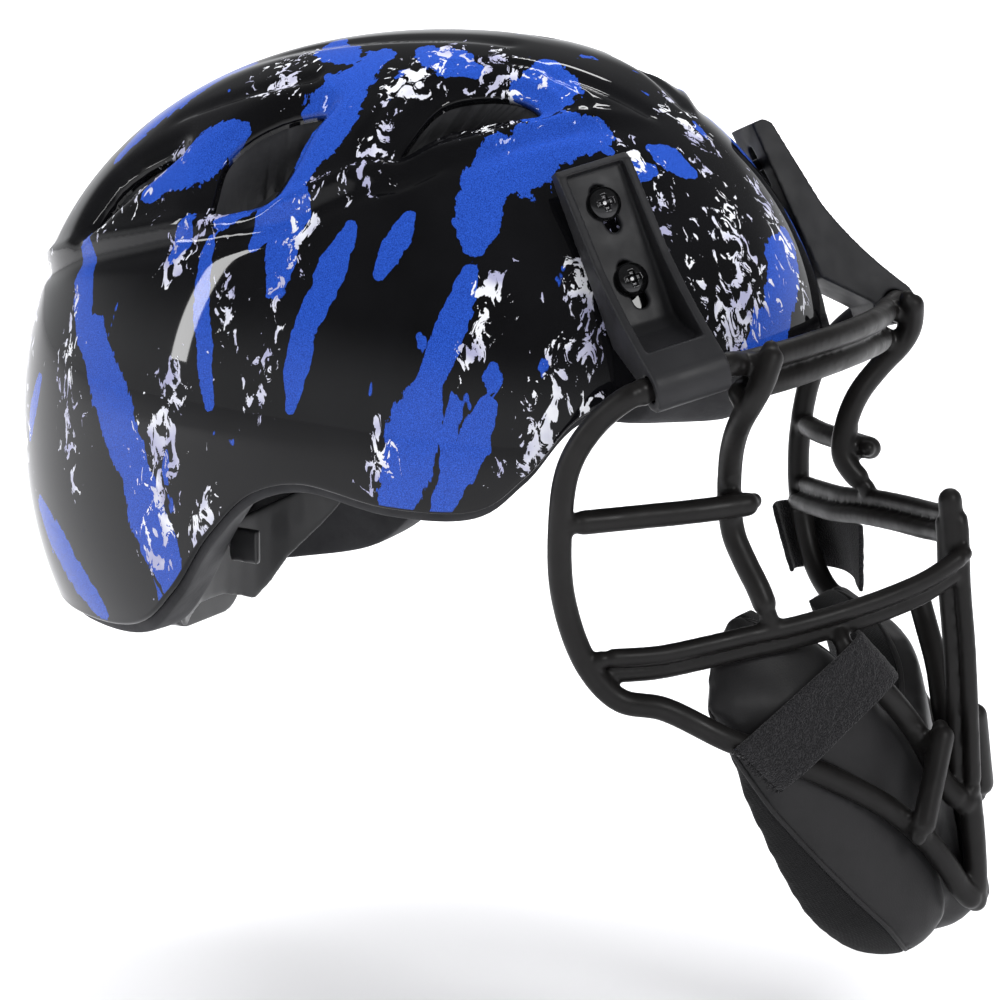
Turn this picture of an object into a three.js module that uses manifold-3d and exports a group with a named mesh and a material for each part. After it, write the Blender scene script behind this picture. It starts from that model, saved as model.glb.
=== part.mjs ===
// Vented shell helmet with a wire face cage on two forehead clips, a chin pad
// strapped to the cage, and a dial-adjusted rear cradle.
//
// Millimetres, +Z up, the wearer faces -Y, and the wearer's right is -X. The
// origin is the middle of the wearer's head, level with the ears.

import * as THREE from 'three';
import { mergeVertices } from 'three/addons/utils/BufferGeometryUtils.js';
import Module from 'manifold-3d';

const wasm = await Module();
wasm.setup();

// ---- Driving dimensions ----------------------------------------------------

const GAP = 0.3;                 // play left between pieces that touch

const SHELL_CENTRE = [0, -17.5, 20];
const SHELL_HALF_WIDTH = 108.5;
const SHELL_FRONT = 134.5;       // centre to brow
const SHELL_REAR = 175;          // centre to the back of the head
const SHELL_RISE = 146;          // centre to crown
const SHELL_POWER = 2.2;         // 2 is an ellipse, more is squarer
const SHELL_THICK = 3;
const FACET_SAG = 1;             // how far the shell's flat facets lie inside its curve

const CAVITY_CENTRE = [0, -2, 20];
const CAVITY_HALF_WIDTH = 81;
const CAVITY_HALF_LENGTH = 110;
const CAVITY_RISE = 118;
const LINER_DROP = 2;            // liner shows this far below the shell's edge

const ROD_D = 8;                 // single cage wire
const PAIR_D = 6.2;              // each wire of a doubled bar
const ROD_SIDES = 8;

const SCREW_D = 4.4;
const HEAD_D = 11.5;
const HEAD_H = 3.2;
const SLOT_WIDTH = 5.2;
const SLIDE_UP = 7;               // the cage's travel along the clip slots
const SLIDE_DOWN = 4;

// ---- Helpers ---------------------------------------------------------------

const model = new THREE.Group();
const V = (x, y, z) => new THREE.Vector3(x, y, z);
const mirrorX = (points) => points.map(([x, y, z]) => [-x, y, z]);
const rad = THREE.MathUtils.degToRad;

const FINISH = {
  shell: { color: 0x0a0c14, roughness: 0.12, metalness: 0.0 },
  foam: { color: 0x23242a, roughness: 0.9, metalness: 0.0 },
  plastic: { color: 0x323033, roughness: 0.55, metalness: 0.0 },
  wire: { color: 0x231f1f, roughness: 0.45, metalness: 0.0 },
  steel: { color: 0x1b1b1d, roughness: 0.2, metalness: 0.9 },
  leather: { color: 0x2b2a2d, roughness: 0.5, metalness: 0.0 },
  fabric: { color: 0x1d1c20, roughness: 0.95, metalness: 0.0 },
  dial: { color: 0x18181a, roughness: 0.4, metalness: 0.0 },
};
const materials = Object.fromEntries(
  Object.entries(FINISH).map(([name, look]) => [name, new THREE.MeshStandardMaterial(look)]),
);

function weld(geometry) {
  const bare = geometry.index ? geometry.clone() : geometry;
  bare.deleteAttribute('normal');
  bare.deleteAttribute('uv');
  return mergeVertices(bare, 1e-3);
}

function add(name, geometry, finish) {
  const mesh = new THREE.Mesh(geometry, materials[finish]);
  mesh.name = name;
  model.add(mesh);
  return mesh;
}

function toSolid(geometry) {
  const merged = weld(geometry);
  return new wasm.Manifold(new wasm.Mesh({
    numProp: 3,
    vertProperties: new Float32Array(merged.attributes.position.array),
    triVerts: new Uint32Array(merged.index.array),
  }));
}

function toGeometry(solid) {
  const mesh = solid.getMesh();
  const geometry = new THREE.BufferGeometry();
  const count = mesh.vertProperties.length / mesh.numProp;
  const position = new Float32Array(count * 3);
  for (let i = 0; i < count; i += 1) {
    for (let k = 0; k < 3; k += 1) position[3 * i + k] = mesh.vertProperties[mesh.numProp * i + k];
  }
  geometry.setAttribute('position', new THREE.BufferAttribute(position, 3));
  geometry.setIndex([...mesh.triVerts]);
  return geometry;
}

function cut(geometry, cutters) {
  return toGeometry(cutters.reduce((body, cutter) => body.subtract(toSolid(cutter)), toSolid(geometry)));
}

// A closed skin over rings of points, whose first and last rings are single
// points. Quads before the row turned are split along their other diagonal.
function skinRings(rows, { turned = 0 } = {}) {
  const position = rows.flat(2);
  const index = [];
  let total = 0;
  const starts = rows.map((row) => {
    const start = total;
    total += row.length;
    return start;
  });
  const count = Math.max(...rows.map((row) => row.length));
  const at = (r, i) => starts[r] + (rows[r].length === 1 ? 0 : (i % count));
  const push = (a, b, c) => {
    if (a !== b && b !== c && c !== a) index.push(a, b, c);
  };
  for (let r = 0; r < rows.length - 1; r += 1) {
    const s = r + 1;
    for (let i = 0; i < count; i += 1) {
      const [a, b, c, d] = [at(r, i), at(r, i + 1), at(s, i + 1), at(s, i)];
      if (r < turned) {
        push(a, b, c);
        push(a, c, d);
      } else {
        push(a, b, d);
        push(b, c, d);
      }
    }
  }
  const geometry = new THREE.BufferGeometry();
  geometry.setAttribute('position', new THREE.Float32BufferAttribute(position, 3));
  geometry.setIndex(index);
  return outward(geometry);
}

// A closed skin over a sheet: grid[r][i] is one face and back[r][i] the other.
function skinSlab(grid, back) {
  const rows = grid.length;
  const cols = grid[0].length;
  const position = [...grid.flat(), ...back.flat()].flat();
  const front = (r, i) => r * cols + i;
  const rear = (r, i) => rows * cols + r * cols + i;
  const index = [];
  const quad = (a, b, c, d) => index.push(a, b, c, a, c, d);
  for (let r = 0; r < rows - 1; r += 1) {
    for (let i = 0; i < cols - 1; i += 1) {
      quad(front(r, i), front(r, i + 1), front(r + 1, i + 1), front(r + 1, i));
      quad(rear(r, i), rear(r + 1, i), rear(r + 1, i + 1), rear(r, i + 1));
    }
  }
  for (let i = 0; i < cols - 1; i += 1) {
    quad(front(0, i + 1), front(0, i), rear(0, i), rear(0, i + 1));
    quad(front(rows - 1, i), front(rows - 1, i + 1), rear(rows - 1, i + 1), rear(rows - 1, i));
  }
  for (let r = 0; r < rows - 1; r += 1) {
    quad(front(r, 0), front(r + 1, 0), rear(r + 1, 0), rear(r, 0));
    quad(front(r + 1, cols - 1), front(r, cols - 1), rear(r, cols - 1), rear(r + 1, cols - 1));
  }
  const geometry = new THREE.BufferGeometry();
  geometry.setAttribute('position', new THREE.Float32BufferAttribute(position, 3));
  geometry.setIndex(index);
  return outward(geometry);
}

// Turns a closed skin's faces outward, by the sign of the volume it holds.
function outward(geometry) {
  const p = geometry.attributes.position;
  const t = geometry.index.array;
  let volume = 0;
  for (let i = 0; i < t.length; i += 3) {
    const [a, b, c] = [0, 1, 2].map((k) => V().fromBufferAttribute(p, t[i + k]));
    volume += a.dot(b.cross(c));
  }
  if (volume < 0) {
    const flipped = [];
    for (let i = 0; i < t.length; i += 3) flipped.push(t[i], t[i + 2], t[i + 1]);
    geometry.setIndex(flipped);
  }
  return geometry;
}

function rod(points, diameter, steps) {
  const curve = new THREE.CatmullRomCurve3(points.map((p) => V(...p)), false, 'centripetal');
  const section = new THREE.Shape();
  section.absarc(0, 0, diameter / 2, 0, 2 * Math.PI, false);
  return new THREE.ExtrudeGeometry(section, {
    steps, extrudePath: curve, curveSegments: ROD_SIDES / 2, bevelEnabled: false,
  });
}

// ---- Helmet surfaces -------------------------------------------------------

// A bearing is measured about +Z from straight ahead, towards the wearer's left.
function eggRadius(direction, front, rear, half, rise, power) {
  const [x, y, z] = direction;
  const along = y < 0 ? front : rear;
  const sum = (Math.abs(x) / half) ** power + (Math.abs(y) / along) ** power
    + (Math.abs(z) / rise) ** power;
  return sum ** (-1 / power);
}

function shellPoint(bearing, lift, inset) {
  const d = [Math.sin(bearing) * Math.cos(lift), -Math.cos(bearing) * Math.cos(lift), Math.sin(lift)];
  const r = eggRadius(d, SHELL_FRONT - inset, SHELL_REAR - inset, SHELL_HALF_WIDTH - inset,
    SHELL_RISE - inset, SHELL_POWER);
  return d.map((v, k) => SHELL_CENTRE[k] + v * r);
}

// Below its centre the cavity goes straight down, as a head does.
function cavityPoint(bearing, lift, inset) {
  const high = Math.max(lift, 0);
  const d = [Math.sin(bearing) * Math.cos(high), -Math.cos(bearing) * Math.cos(high), Math.sin(high)];
  const r = eggRadius(d, CAVITY_HALF_LENGTH - inset, CAVITY_HALF_LENGTH - inset,
    CAVITY_HALF_WIDTH - inset, CAVITY_RISE - inset, 2.2);
  const p = d.map((v, k) => CAVITY_CENTRE[k] + v * r);
  if (lift < 0) p[2] += Math.tan(lift) * Math.hypot(p[0], p[1]);
  return p;
}

// Height of the lower edge at each bearing in degrees: a level brow, a step
// down to the temple, the arch over the ear and the deep back.
const EDGE_KEYS = [
  [0, 63], [25, 62], [42, 55], [52, 34], [60, 22], [75, 21], [93, 26], [103, 21],
  [113, 4], [123, -20], [134, -36], [150, -40], [180, -38],
];
const edgeCurve = new THREE.CatmullRomCurve3(EDGE_KEYS.map(([b, z]) => V(b, z, 0)), false, 'centripetal');
const edgeSamples = edgeCurve.getPoints(200);
function edgeHeight(bearing) {
  const turn = Math.abs(THREE.MathUtils.radToDeg(Math.atan2(Math.sin(bearing), Math.cos(bearing))));
  const i = edgeSamples.findIndex((p) => p.x >= turn - 1e-6);
  if (i <= 0) return edgeSamples[Math.max(i, 0)].y;
  const [a, b] = [edgeSamples[i - 1], edgeSamples[i]];
  return THREE.MathUtils.lerp(a.y, b.y, (turn - a.x) / (b.x - a.x));
}

// The lift angle at which a surface meets a height, by halving.
function liftAt(surface, bearing, height, inset) {
  let [low, high] = [rad(-60), rad(80)];
  for (let i = 0; i < 40; i += 1) {
    const mid = (low + high) / 2;
    if (surface(bearing, mid, inset)[2] < height) low = mid; else high = mid;
  }
  return (low + high) / 2;
}

// Rows of points from the lower edge up to the crown. A drop adds a row below
// the edge, so that two surfaces a small gap apart keep matching facets.
function domeRows({ surface, inset }, drop, around, rows) {
  const ring = (point) => Array.from({ length: around }, (_, i) => {
    const bearing = (2 * Math.PI * i) / around;
    const edge = liftAt(surface, bearing, edgeHeight(bearing), inset);
    return point(bearing, edge);
  });
  const out = [];
  if (drop > 0) {
    out.push(ring((bearing) => surface(
      bearing, liftAt(surface, bearing, edgeHeight(bearing) - drop, inset), inset,
    )));
  }
  for (let r = 0; r < rows; r += 1) {
    out.push(ring((bearing, edge) => surface(
      bearing, THREE.MathUtils.lerp(edge, Math.PI / 2, r / rows), inset,
    )));
  }
  out.push([surface(0, Math.PI / 2, inset)]);
  return out;
}

function dome(outer, inner, around, rows, drop) {
  const outside = domeRows(outer, drop, around, rows);
  const inside = domeRows(inner, drop, around, rows);
  return skinRings([...inside.reverse(), ...outside], { turned: inside.length - 1 });
}

// A vent cutter: a smooth outline through points on the shell, drawn in the
// plane across the shell's normal and pushed through the wall.
function ventCutter(outline, depth) {
  const points = outline.map((p) => V(...p));
  const centre = points.reduce((sum, p) => sum.add(p), V()).divideScalar(points.length);
  const normal = centre.clone().sub(V(...SHELL_CENTRE)).normalize();
  const across = V(0, 0, 1).cross(normal).normalize();
  const up = normal.clone().cross(across);
  const flat = points.map((p) => {
    const d = p.clone().sub(centre);
    return new THREE.Vector2(d.dot(across), d.dot(up));
  });
  const loop = new THREE.CatmullRomCurve3(flat.map((p) => V(p.x, p.y, 0)), true, 'centripetal');
  const shape = new THREE.Shape(loop.getPoints(2 * flat.length).slice(0, -1)
    .map((p) => new THREE.Vector2(p.x, p.y)));
  const geometry = new THREE.ExtrudeGeometry(shape, { depth: depth + 15, bevelEnabled: false });
  geometry.translate(0, 0, -depth);
  return geometry.applyMatrix4(new THREE.Matrix4().makeBasis(across, up, normal))
    .translate(...centre.toArray());
}

function mirrored(geometry) {
  return outward(weld(geometry.clone().scale(-1, 1, 1)));
}

const bothSides = (geometry) => [geometry, mirrored(geometry)];

// ---- Forehead clips: one frame on each side --------------------------------

// On the wearer's right: DOWN runs along the clip towards its loop, ACROSS
// towards the ear, and OUT away from the shell.
const DOWN = V(-0.09, -0.429, -0.899).normalize();
const ACROSS = V(-0.722, 0.65, -0.238);
ACROSS.addScaledVector(DOWN, -ACROSS.dot(DOWN)).normalize();
const OUT = ACROSS.clone().cross(DOWN).normalize();
const SLIDE_AXIS = DOWN.clone().addScaledVector(ACROSS, -DOWN.x / ACROSS.x).normalize();
const SLOT_SLANT = Math.atan2(SLIDE_AXIS.dot(ACROSS), SLIDE_AXIS.dot(DOWN));

// The clip's back lies on the plane that just touches the shell.
function highestAlong(direction) {
  let best = -Infinity;
  for (let b = 0; b < 90; b += 1) {
    for (let l = 0; l < 80; l += 1) {
      best = Math.max(best, V(...shellPoint(rad(-b), rad(l), 0)).dot(direction));
    }
  }
  return best;
}
const CLIP_PLANE = highestAlong(OUT) + 0.5;
const CLIP_MIDDLE = -49.4;       // where the clip's centre line lies along ACROSS
const CLIP_TOP = -72.2;          // and its top end along DOWN
const CLIP_WIDTH = 26;
const CLIP_WALL = 2.8;           // side flanges
const CLIP_FLOOR = 3;
const POCKET_END = 56;
const LOOP_DOWN = 79;            // loop centre below the top end
const LOOP_OUT = 21;             // and out from the back
const LOOP_RADIUS = 7.9;
const SCREWS_DOWN = [14.5, 41];
const SLOT_SLACK = (SLOT_WIDTH - SCREW_D) / 2;

function clipPoint(across, down, out) {
  return V().addScaledVector(ACROSS, CLIP_MIDDLE + across)
    .addScaledVector(DOWN, CLIP_TOP + down)
    .addScaledVector(OUT, CLIP_PLANE + out);
}

// Places geometry drawn with x = down, y = out and z = across.
function toClip(geometry) {
  const place = new THREE.Matrix4().makeBasis(DOWN, OUT, ACROSS.clone().negate());
  place.setPosition(clipPoint(0, 0, 0));
  return outward(weld(geometry.applyMatrix4(place)));
}

function boreThrough(radius, down, out, length) {
  const cylinder = new THREE.CylinderGeometry(radius, radius, length, 20);
  return toClip(cylinder.rotateX(Math.PI / 2).translate(down, out, 0));
}

function clipGeometry() {
  const side = new THREE.Shape();
  side.moveTo(0, 0);
  side.lineTo(60, 0);
  side.lineTo(LOOP_DOWN - 3, LOOP_OUT - LOOP_RADIUS * 0.94);
  side.absarc(LOOP_DOWN, LOOP_OUT, LOOP_RADIUS, rad(-112), rad(112), false);
  side.quadraticCurveTo(56, 16.5, 36, 11.5);
  side.lineTo(2.5, 7);
  side.lineTo(0, 4.5);
  const body = new THREE.ExtrudeGeometry(side, { depth: CLIP_WIDTH, bevelEnabled: false, curveSegments: 8 })
    .translate(0, 0, -CLIP_WIDTH / 2);
  const tray = new THREE.Shape();
  tray.moveTo(CLIP_WALL, CLIP_FLOOR);
  tray.lineTo(POCKET_END, CLIP_FLOOR);
  tray.lineTo(60, 6);
  tray.lineTo(67, 16);
  tray.lineTo(70, 40);
  tray.lineTo(CLIP_WALL, 40);
  const trayWidth = CLIP_WIDTH - 2 * CLIP_WALL;
  const pocket = new THREE.ExtrudeGeometry(tray, { depth: trayWidth, bevelEnabled: false })
    .translate(0, 0, -trayWidth / 2);
  const slots = SCREWS_DOWN.map((down) => {
    const slot = new THREE.Shape();
    slot.absarc(SLIDE_UP + SLOT_SLACK, 0, SLOT_WIDTH / 2, -Math.PI / 2, Math.PI / 2, false);
    slot.absarc(-SLIDE_DOWN - SLOT_SLACK, 0, SLOT_WIDTH / 2, Math.PI / 2, -Math.PI / 2, false);
    const cutter = new THREE.ExtrudeGeometry(slot, { depth: 12, bevelEnabled: false, curveSegments: 6 });
    cutter.translate(0, 0, -6).rotateZ(SLOT_SLANT).rotateX(-Math.PI / 2);
    return toClip(cutter.translate(down, 0, 0));
  });
  const bore = boreThrough(ROD_D / 2 + 0.45, LOOP_DOWN, LOOP_OUT, CLIP_WIDTH + 4);
  return cut(toClip(body), [toClip(pocket), bore, ...slots]);
}

// How far out from the clip's plane a shell surface lies under a point.
function surfaceOut(across, down, inset) {
  let [low, high] = [-60, 10];
  for (let i = 0; i < 30; i += 1) {
    const mid = (low + high) / 2;
    const p = clipPoint(across, down, mid).sub(V(...SHELL_CENTRE)).toArray();
    const size = 1 / eggRadius(p, SHELL_FRONT - inset, SHELL_REAR - inset, SHELL_HALF_WIDTH - inset,
      SHELL_RISE - inset, SHELL_POWER);
    if (size < 1) low = mid; else high = mid;
  }
  return low;
}

function latheAlongOut(profile, down, out, sides) {
  const points = profile.map(([r, h]) => new THREE.Vector2(r, h));
  return toClip(new THREE.LatheGeometry(points, sides).translate(down, out, 0));
}

const NUT_RADIUS = 6.5;
const NUT_FLANGE = 1.2;
const NUT_BARREL = 6;
const nutSeat = SCREWS_DOWN.map((down) => {
  const heights = [[0, 0], [NUT_RADIUS, 0], [-NUT_RADIUS, 0], [0, NUT_RADIUS], [0, -NUT_RADIUS]]
    .map(([a, d]) => surfaceOut(a, down + d, SHELL_THICK));
  return Math.min(...heights) - GAP - FACET_SAG;
});

function screwGeometry(i) {
  const [r, h] = [HEAD_D / 2, HEAD_H];
  const end = nutSeat[i] - NUT_FLANGE - NUT_BARREL - 1 - CLIP_FLOOR - GAP;
  const head = latheAlongOut([
    [0, end], [SCREW_D / 2, end], [SCREW_D / 2, 0], [r, 0], [r, 0.5], [r * 0.86, h * 0.55],
    [r * 0.55, h * 0.9], [0, h],
  ], SCREWS_DOWN[i], CLIP_FLOOR + GAP, 14);
  const arms = [0, Math.PI / 2].map((turn) => toClip(
    new THREE.BoxGeometry(5.2, 2.4, 1.3).rotateY(turn)
      .translate(SCREWS_DOWN[i], CLIP_FLOOR + GAP + h, 0),
  ));
  return cut(head, arms);
}

function nutGeometry(i) {
  const bore = SCREW_D / 2 + GAP;
  return latheAlongOut([
    [bore, 0], [NUT_RADIUS, 0], [NUT_RADIUS, -NUT_FLANGE], [3.6, -NUT_FLANGE],
    [3.6, -NUT_FLANGE - NUT_BARREL], [bore, -NUT_FLANGE - NUT_BARREL], [bore, 0],
  ], SCREWS_DOWN[i], nutSeat[i], 14);
}

const screwHoles = SCREWS_DOWN.map((down) => latheAlongOut(
  [[0, -22], [2.7, -22], [2.7, 8], [0, 8]], down, 0, 16,
));
const nutPockets = SCREWS_DOWN.map((down, i) => latheAlongOut(
  [[0, nutSeat[i] - NUT_BARREL - 4], [NUT_RADIUS + 0.6, nutSeat[i] - NUT_BARREL - 4],
    [NUT_RADIUS + 0.6, 8], [0, 8]], down, 0, 16,
));

// ---- Helmet ----------------------------------------------------------------

const VENTS = {
  rear_side: [[-82, 40, 111], [-78, 42, 119], [-68, 41, 129], [-60, 25, 141], [-59, 6, 145],
    [-66, 8, 138], [-77, 10, 125], [-83, 16, 115]],
  front: [[-71.5, -30, 133], [-66, -31, 140], [-50, -37, 151], [-38, -60, 151], [-41, -69, 147],
    [-52, -58, 145], [-63, -42, 141]],
  rear_upper: [[-65, 100, 96], [-66, 93, 102], [-66, 72, 120], [-62, 62, 127], [-60, 70, 124],
    [-58, 92, 108]],
};
const THROUGH_DEPTH = 60;
const ventCutters = Object.values(VENTS).flatMap((outline) => bothSides(ventCutter(outline, THROUGH_DEPTH)));

const AROUND = 40;
const UPWARD = 9;
const shell = dome(
  { surface: shellPoint, inset: 0 }, { surface: shellPoint, inset: SHELL_THICK }, AROUND, UPWARD, 0,
);
add('helmet_shell', cut(shell, [...ventCutters, ...screwHoles.flatMap(bothSides)]), 'shell');

const liner = dome(
  { surface: shellPoint, inset: SHELL_THICK + GAP }, { surface: cavityPoint, inset: 0 },
  AROUND, UPWARD, LINER_DROP,
);
const dialPocket = new THREE.BoxGeometry(66, 46, 50).translate(0, 110, -47);
add('foam_liner', cut(liner, [...ventCutters, ...nutPockets.flatMap(bothSides), dialPocket]), 'foam');

// A fitting pad: a curved slab lying just inside the cavity.
function fitPad(name, bearings, lifts, thick) {
  const sheet = (inset) => Array.from({ length: 4 }, (_, r) => Array.from({ length: 7 }, (_unused, i) => (
    cavityPoint(rad(THREE.MathUtils.lerp(...bearings, i / 6)), rad(THREE.MathUtils.lerp(...lifts, r / 3)), inset)
  )));
  add(name, skinSlab(sheet(GAP + FACET_SAG), sheet(thick)), 'fabric');
}
fitPad('brow_pad', [-52, 52], [26, 40], 8);
fitPad('rear_pad', [155, 205], [8, 26], 7);
fitPad('side_pad_right', [-116, -72], [10, 28], 6);
fitPad('side_pad_left', [72, 116], [10, 28], 6);
fitPad('crown_pad_right', [-105, -75], [50, 68], 6);
fitPad('crown_pad_left', [75, 105], [50, 68], 6);

// ---- Clips and their fasteners ---------------------------------------------

const clip = clipGeometry();
for (const [side, copy] of [['right', (g) => g], ['left', mirrored]]) {
  add(`clip_${side}`, copy(clip), 'plastic');
  SCREWS_DOWN.forEach((_, i) => {
    const place = ['upper', 'lower'][i];
    add(`clip_screw_${place}_${side}`, copy(screwGeometry(i)), 'steel');
    add(`tee_nut_${place}_${side}`, copy(nutGeometry(i)), 'steel');
  });
}

// ---- Cage ------------------------------------------------------------------

// Points are on the wearer's right and run from the clip loop.
const loopAt = (along) => clipPoint(along, LOOP_DOWN, LOOP_OUT).toArray();

const BROW_HALF = [loopAt(15), loopAt(9), loopAt(0), loopAt(-9), loopAt(-15),
  [-60, -152.5, 70.8], [-44, -158, 71.8], [-22, -162.5, 72.8]];
const upperBrow = [...BROW_HALF, [0, -164, 73], ...mirrorX(BROW_HALF).reverse()];
add('brow_bar_upper', rod(upperBrow, ROD_D, 40), 'wire');

const BROW_STEP = ROD_D + GAP + 0.2;
const LOWER_HALF = [[-60, -150.5, 61.6], [-44, -157, 62.6], [-22, -161.8, 64]];
const lowerBrow = [...LOWER_HALF, [0, -163.4, 73 - BROW_STEP], ...mirrorX(LOWER_HALF).reverse()];
add('brow_bar_lower', rod(lowerBrow, ROD_D, 20), 'wire');

const PERIMETER = [loopAt(15.4), loopAt(19), [-97.5, -118, 54], [-98, -108.5, 39], [-96.5, -104.5, 18],
  [-95, -105, -6], [-91, -112, -29], [-86, -121.5, -40.5], [-79, -134, -43.5], [-68, -153, -54.5],
  [-56, -165, -61.5], [-43, -178, -70], [-29, -193.5, -82], [-18, -203.5, -95], [-11, -209.3, -106.5],
  [-7, -212, -113.5], [-3.6, -214.4, -118], [-1.7, -215, -119.3], [-0.3, -215, -119.4]];
const EYE_TOP = [[-57.5, -162.8, 78.5], [-60.4, -162.4, 73], [-63.3, -160.7, 65.3], [-63.9, -157.5, 59.1],
  [-59, -151, 50.5], [-52.8, -145.6, 41], [-49, -142.9, 31], [-47.4, -142.3, 20]];
const EYE_RIGHT = [...EYE_TOP, [-47.4, -144, 10], [-48.4, -149, 1], [-49.8, -154.5, -7], [-50.4, -157.5, -11.5]];
const EYE_LEFT = mirrorX([...EYE_TOP, [-47.7, -145.5, 14.5], [-48.1, -149.5, 11.4]]);
const CHEEK = [[-92.6, -109, 19.2], [-80, -120.5, 19.6], [-63.5, -139.3, 20.9], [-50, -152.9, 22.3]];
const LOWER_WIRE_TOP = [-36, -176, -22.5];
const LOWER_WIRE = [[-33.8, -178.6, -28.8], [-31, -182, -33.5], [-22, -190, -45.5], [-13, -196.5, -59],
  [-9.5, -200.5, -68], [-8, -204.8, -77], [-5.5, -208.8, -82.5], [-3.5, -211, -85.3]];
const STRUT = [[-13.5, -207.4, -55], [-28.5, -205.9, -91]];
const sideRods = [
  ['perimeter_wire', PERIMETER, ROD_D, 40],
  ['cheek_bar', CHEEK, ROD_D, 8],
  ['lower_strut', STRUT, ROD_D, 1],
];
for (const [name, points, diameter, steps] of sideRods) {
  add(`${name}_right`, rod(points, diameter, steps), 'wire');
  add(`${name}_left`, rod(mirrorX(points), diameter, steps), 'wire');
}

add('eye_bar_right', rod(EYE_RIGHT, ROD_D, 18), 'wire');
add('eye_bar_left', rod(EYE_LEFT, ROD_D, 16), 'wire');
add('lower_wire_right', rod(LOWER_WIRE, ROD_D, 14), 'wire');
add('lower_wire_left', rod(mirrorX([LOWER_WIRE_TOP, ...LOWER_WIRE]), ROD_D, 15), 'wire');

// The doubled mouth bar meets the front post lower on the right than on the left.
const MOUTH_RIGHT = [[-84.5, -120.3, -29.2], [-76, -129.9, -29], [-65, -141.2, -27], [-54, -152.6, -24.5],
  [-43, -164.2, -22.2], [-32, -175.7, -18.9], [-21, -187.4, -14.6], [-12, -198, -9.3], [-7.4, -204, -5]];
const MOUTH_LEFT = [[88.3, -110, -5.5], [74, -122, -3.5], [60, -136, -1.3], [48, -151.4, 1.8],
  [34, -169.2, 4.2], [18, -187.4, 6.5], [9, -196.5, 8.2]];
const PAIR_RISE = 3.1;           // each wire of the mouth bar above or below its middle
const PAIR_LEAN = 1.3;           // and the upper one outwards
for (const [side, outward_, points] of [['right', -1, MOUTH_RIGHT], ['left', 1, MOUTH_LEFT]]) {
  const shifted = (up) => points.map(([x, y, z]) => [
    x + up * outward_ * PAIR_LEAN, y - up * PAIR_LEAN, z + up * PAIR_RISE,
  ]);
  add(`mouth_bar_upper_${side}`, rod(shifted(1), PAIR_D, 14), 'wire');
  add(`mouth_bar_lower_${side}`, rod(shifted(-1), PAIR_D, 14), 'wire');
}

const POST_D = 5.6;
const POST = [[0, -201.4, 20], [0, -203.1, 6], [0, -204.1, -10], [0, -206.4, -31], [0, -208.2, -54], [0, -209.8, -78]];
const POST_STEP = POST_D + GAP;
const postShift = (forward) => POST.map(([x, y, z]) => [x, y - forward, z]);
add('front_post_outer', rod(postShift(POST_STEP / 2), POST_D, 10), 'wire');
add('front_post_inner', rod(postShift(-POST_STEP / 2), POST_D, 10), 'wire');
add('lower_post', rod([[0, -213, -91.8], [0, -214, -101], [0, -214.6, -108]], ROD_D, 3), 'wire');

// ---- Chin pad --------------------------------------------------------------

// Height, half-width, back edge and front of the pad's outer face, and how
// pointed it is in plan (1 is an ellipse), from top to bottom.
const PAD_KEYS = [
  [-12, 49, -144, -178, 1.3], [-24, 48.5, -138.5, -180.5, 1.3], [-34, 54, -136.5, -184.5, 1.3],
  [-44, 64.5, -139, -189, 1.3], [-60, 60, -145, -192, 1.3], [-82, 52.5, -150, -197, 1.2],
  [-106, 45, -159, -204.5, 1.05], [-125, 36, -167, -208.5, 0.85], [-137, 25, -175, -203, 0.85],
  [-144, 10, -184, -193, 0.9],
];
// The pad's top edge, from the middle to the wings' tips, on the right. The
// left wing is this much lower.
const PAD_TOP_KEYS = [[1, -14], [0.85, -20], [0.7, -24], [0.5, -27], [0.4, -31], [0.3, -41], [0.2, -52], [0, -60]];
const LEFT_WING_LOWER = 9;
const PAD_BOTTOM = -144;
const PAD_THICK = 26;
const PAD_SEAM = 0.55;           // share of the thickness in the leather panel

function keyedAt(keys, value) {
  const i = THREE.MathUtils.clamp(keys.findIndex((key) => key[0] <= value), 1, keys.length - 1);
  const [a, b] = [keys[i - 1], keys[i]];
  return a.map((v, k) => THREE.MathUtils.lerp(v, b[k], (value - a[0]) / (b[0] - a[0])));
}

// A point of the pad: turn goes -1 to 1 from the right wing round to the left,
// fall 0 to 1 from the top to the bottom, and depth 0 to 1 in from the outer face.
function padPoint(turn, fall, depth) {
  const top = keyedAt(PAD_TOP_KEYS, Math.abs(turn))[1]
    - LEFT_WING_LOWER * THREE.MathUtils.smoothstep(turn, 0.1, 0.6);
  const z = THREE.MathUtils.lerp(top, PAD_BOTTOM, fall);
  const [, half, back, front, bend] = keyedAt(PAD_KEYS, z);
  const inward = depth * Math.min(PAD_THICK, 0.75 * half);
  const angle = (turn * Math.PI) / 2;
  const x = (half - inward) * Math.sign(angle) * Math.abs(Math.sin(angle)) ** bend;
  const y = back - Math.max(back - front - inward, 1) * Math.cos(angle) ** bend;
  return [x, y, z];
}

function padLayer(name, from, to, finish) {
  const sheet = (depth) => Array.from({ length: 9 }, (_, r) => Array.from({ length: 17 }, (_unused, i) => (
    padPoint(i / 8 - 1, r / 8, depth)
  )));
  add(name, skinSlab(sheet(from), sheet(to)), finish);
}
padLayer('chin_pad_outer', 0, PAD_SEAM, 'leather');
padLayer('chin_pad_liner', PAD_SEAM + 0.08, 1, 'fabric');

// ---- Pad straps ------------------------------------------------------------

const STRAP_THICK = 2;

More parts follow.
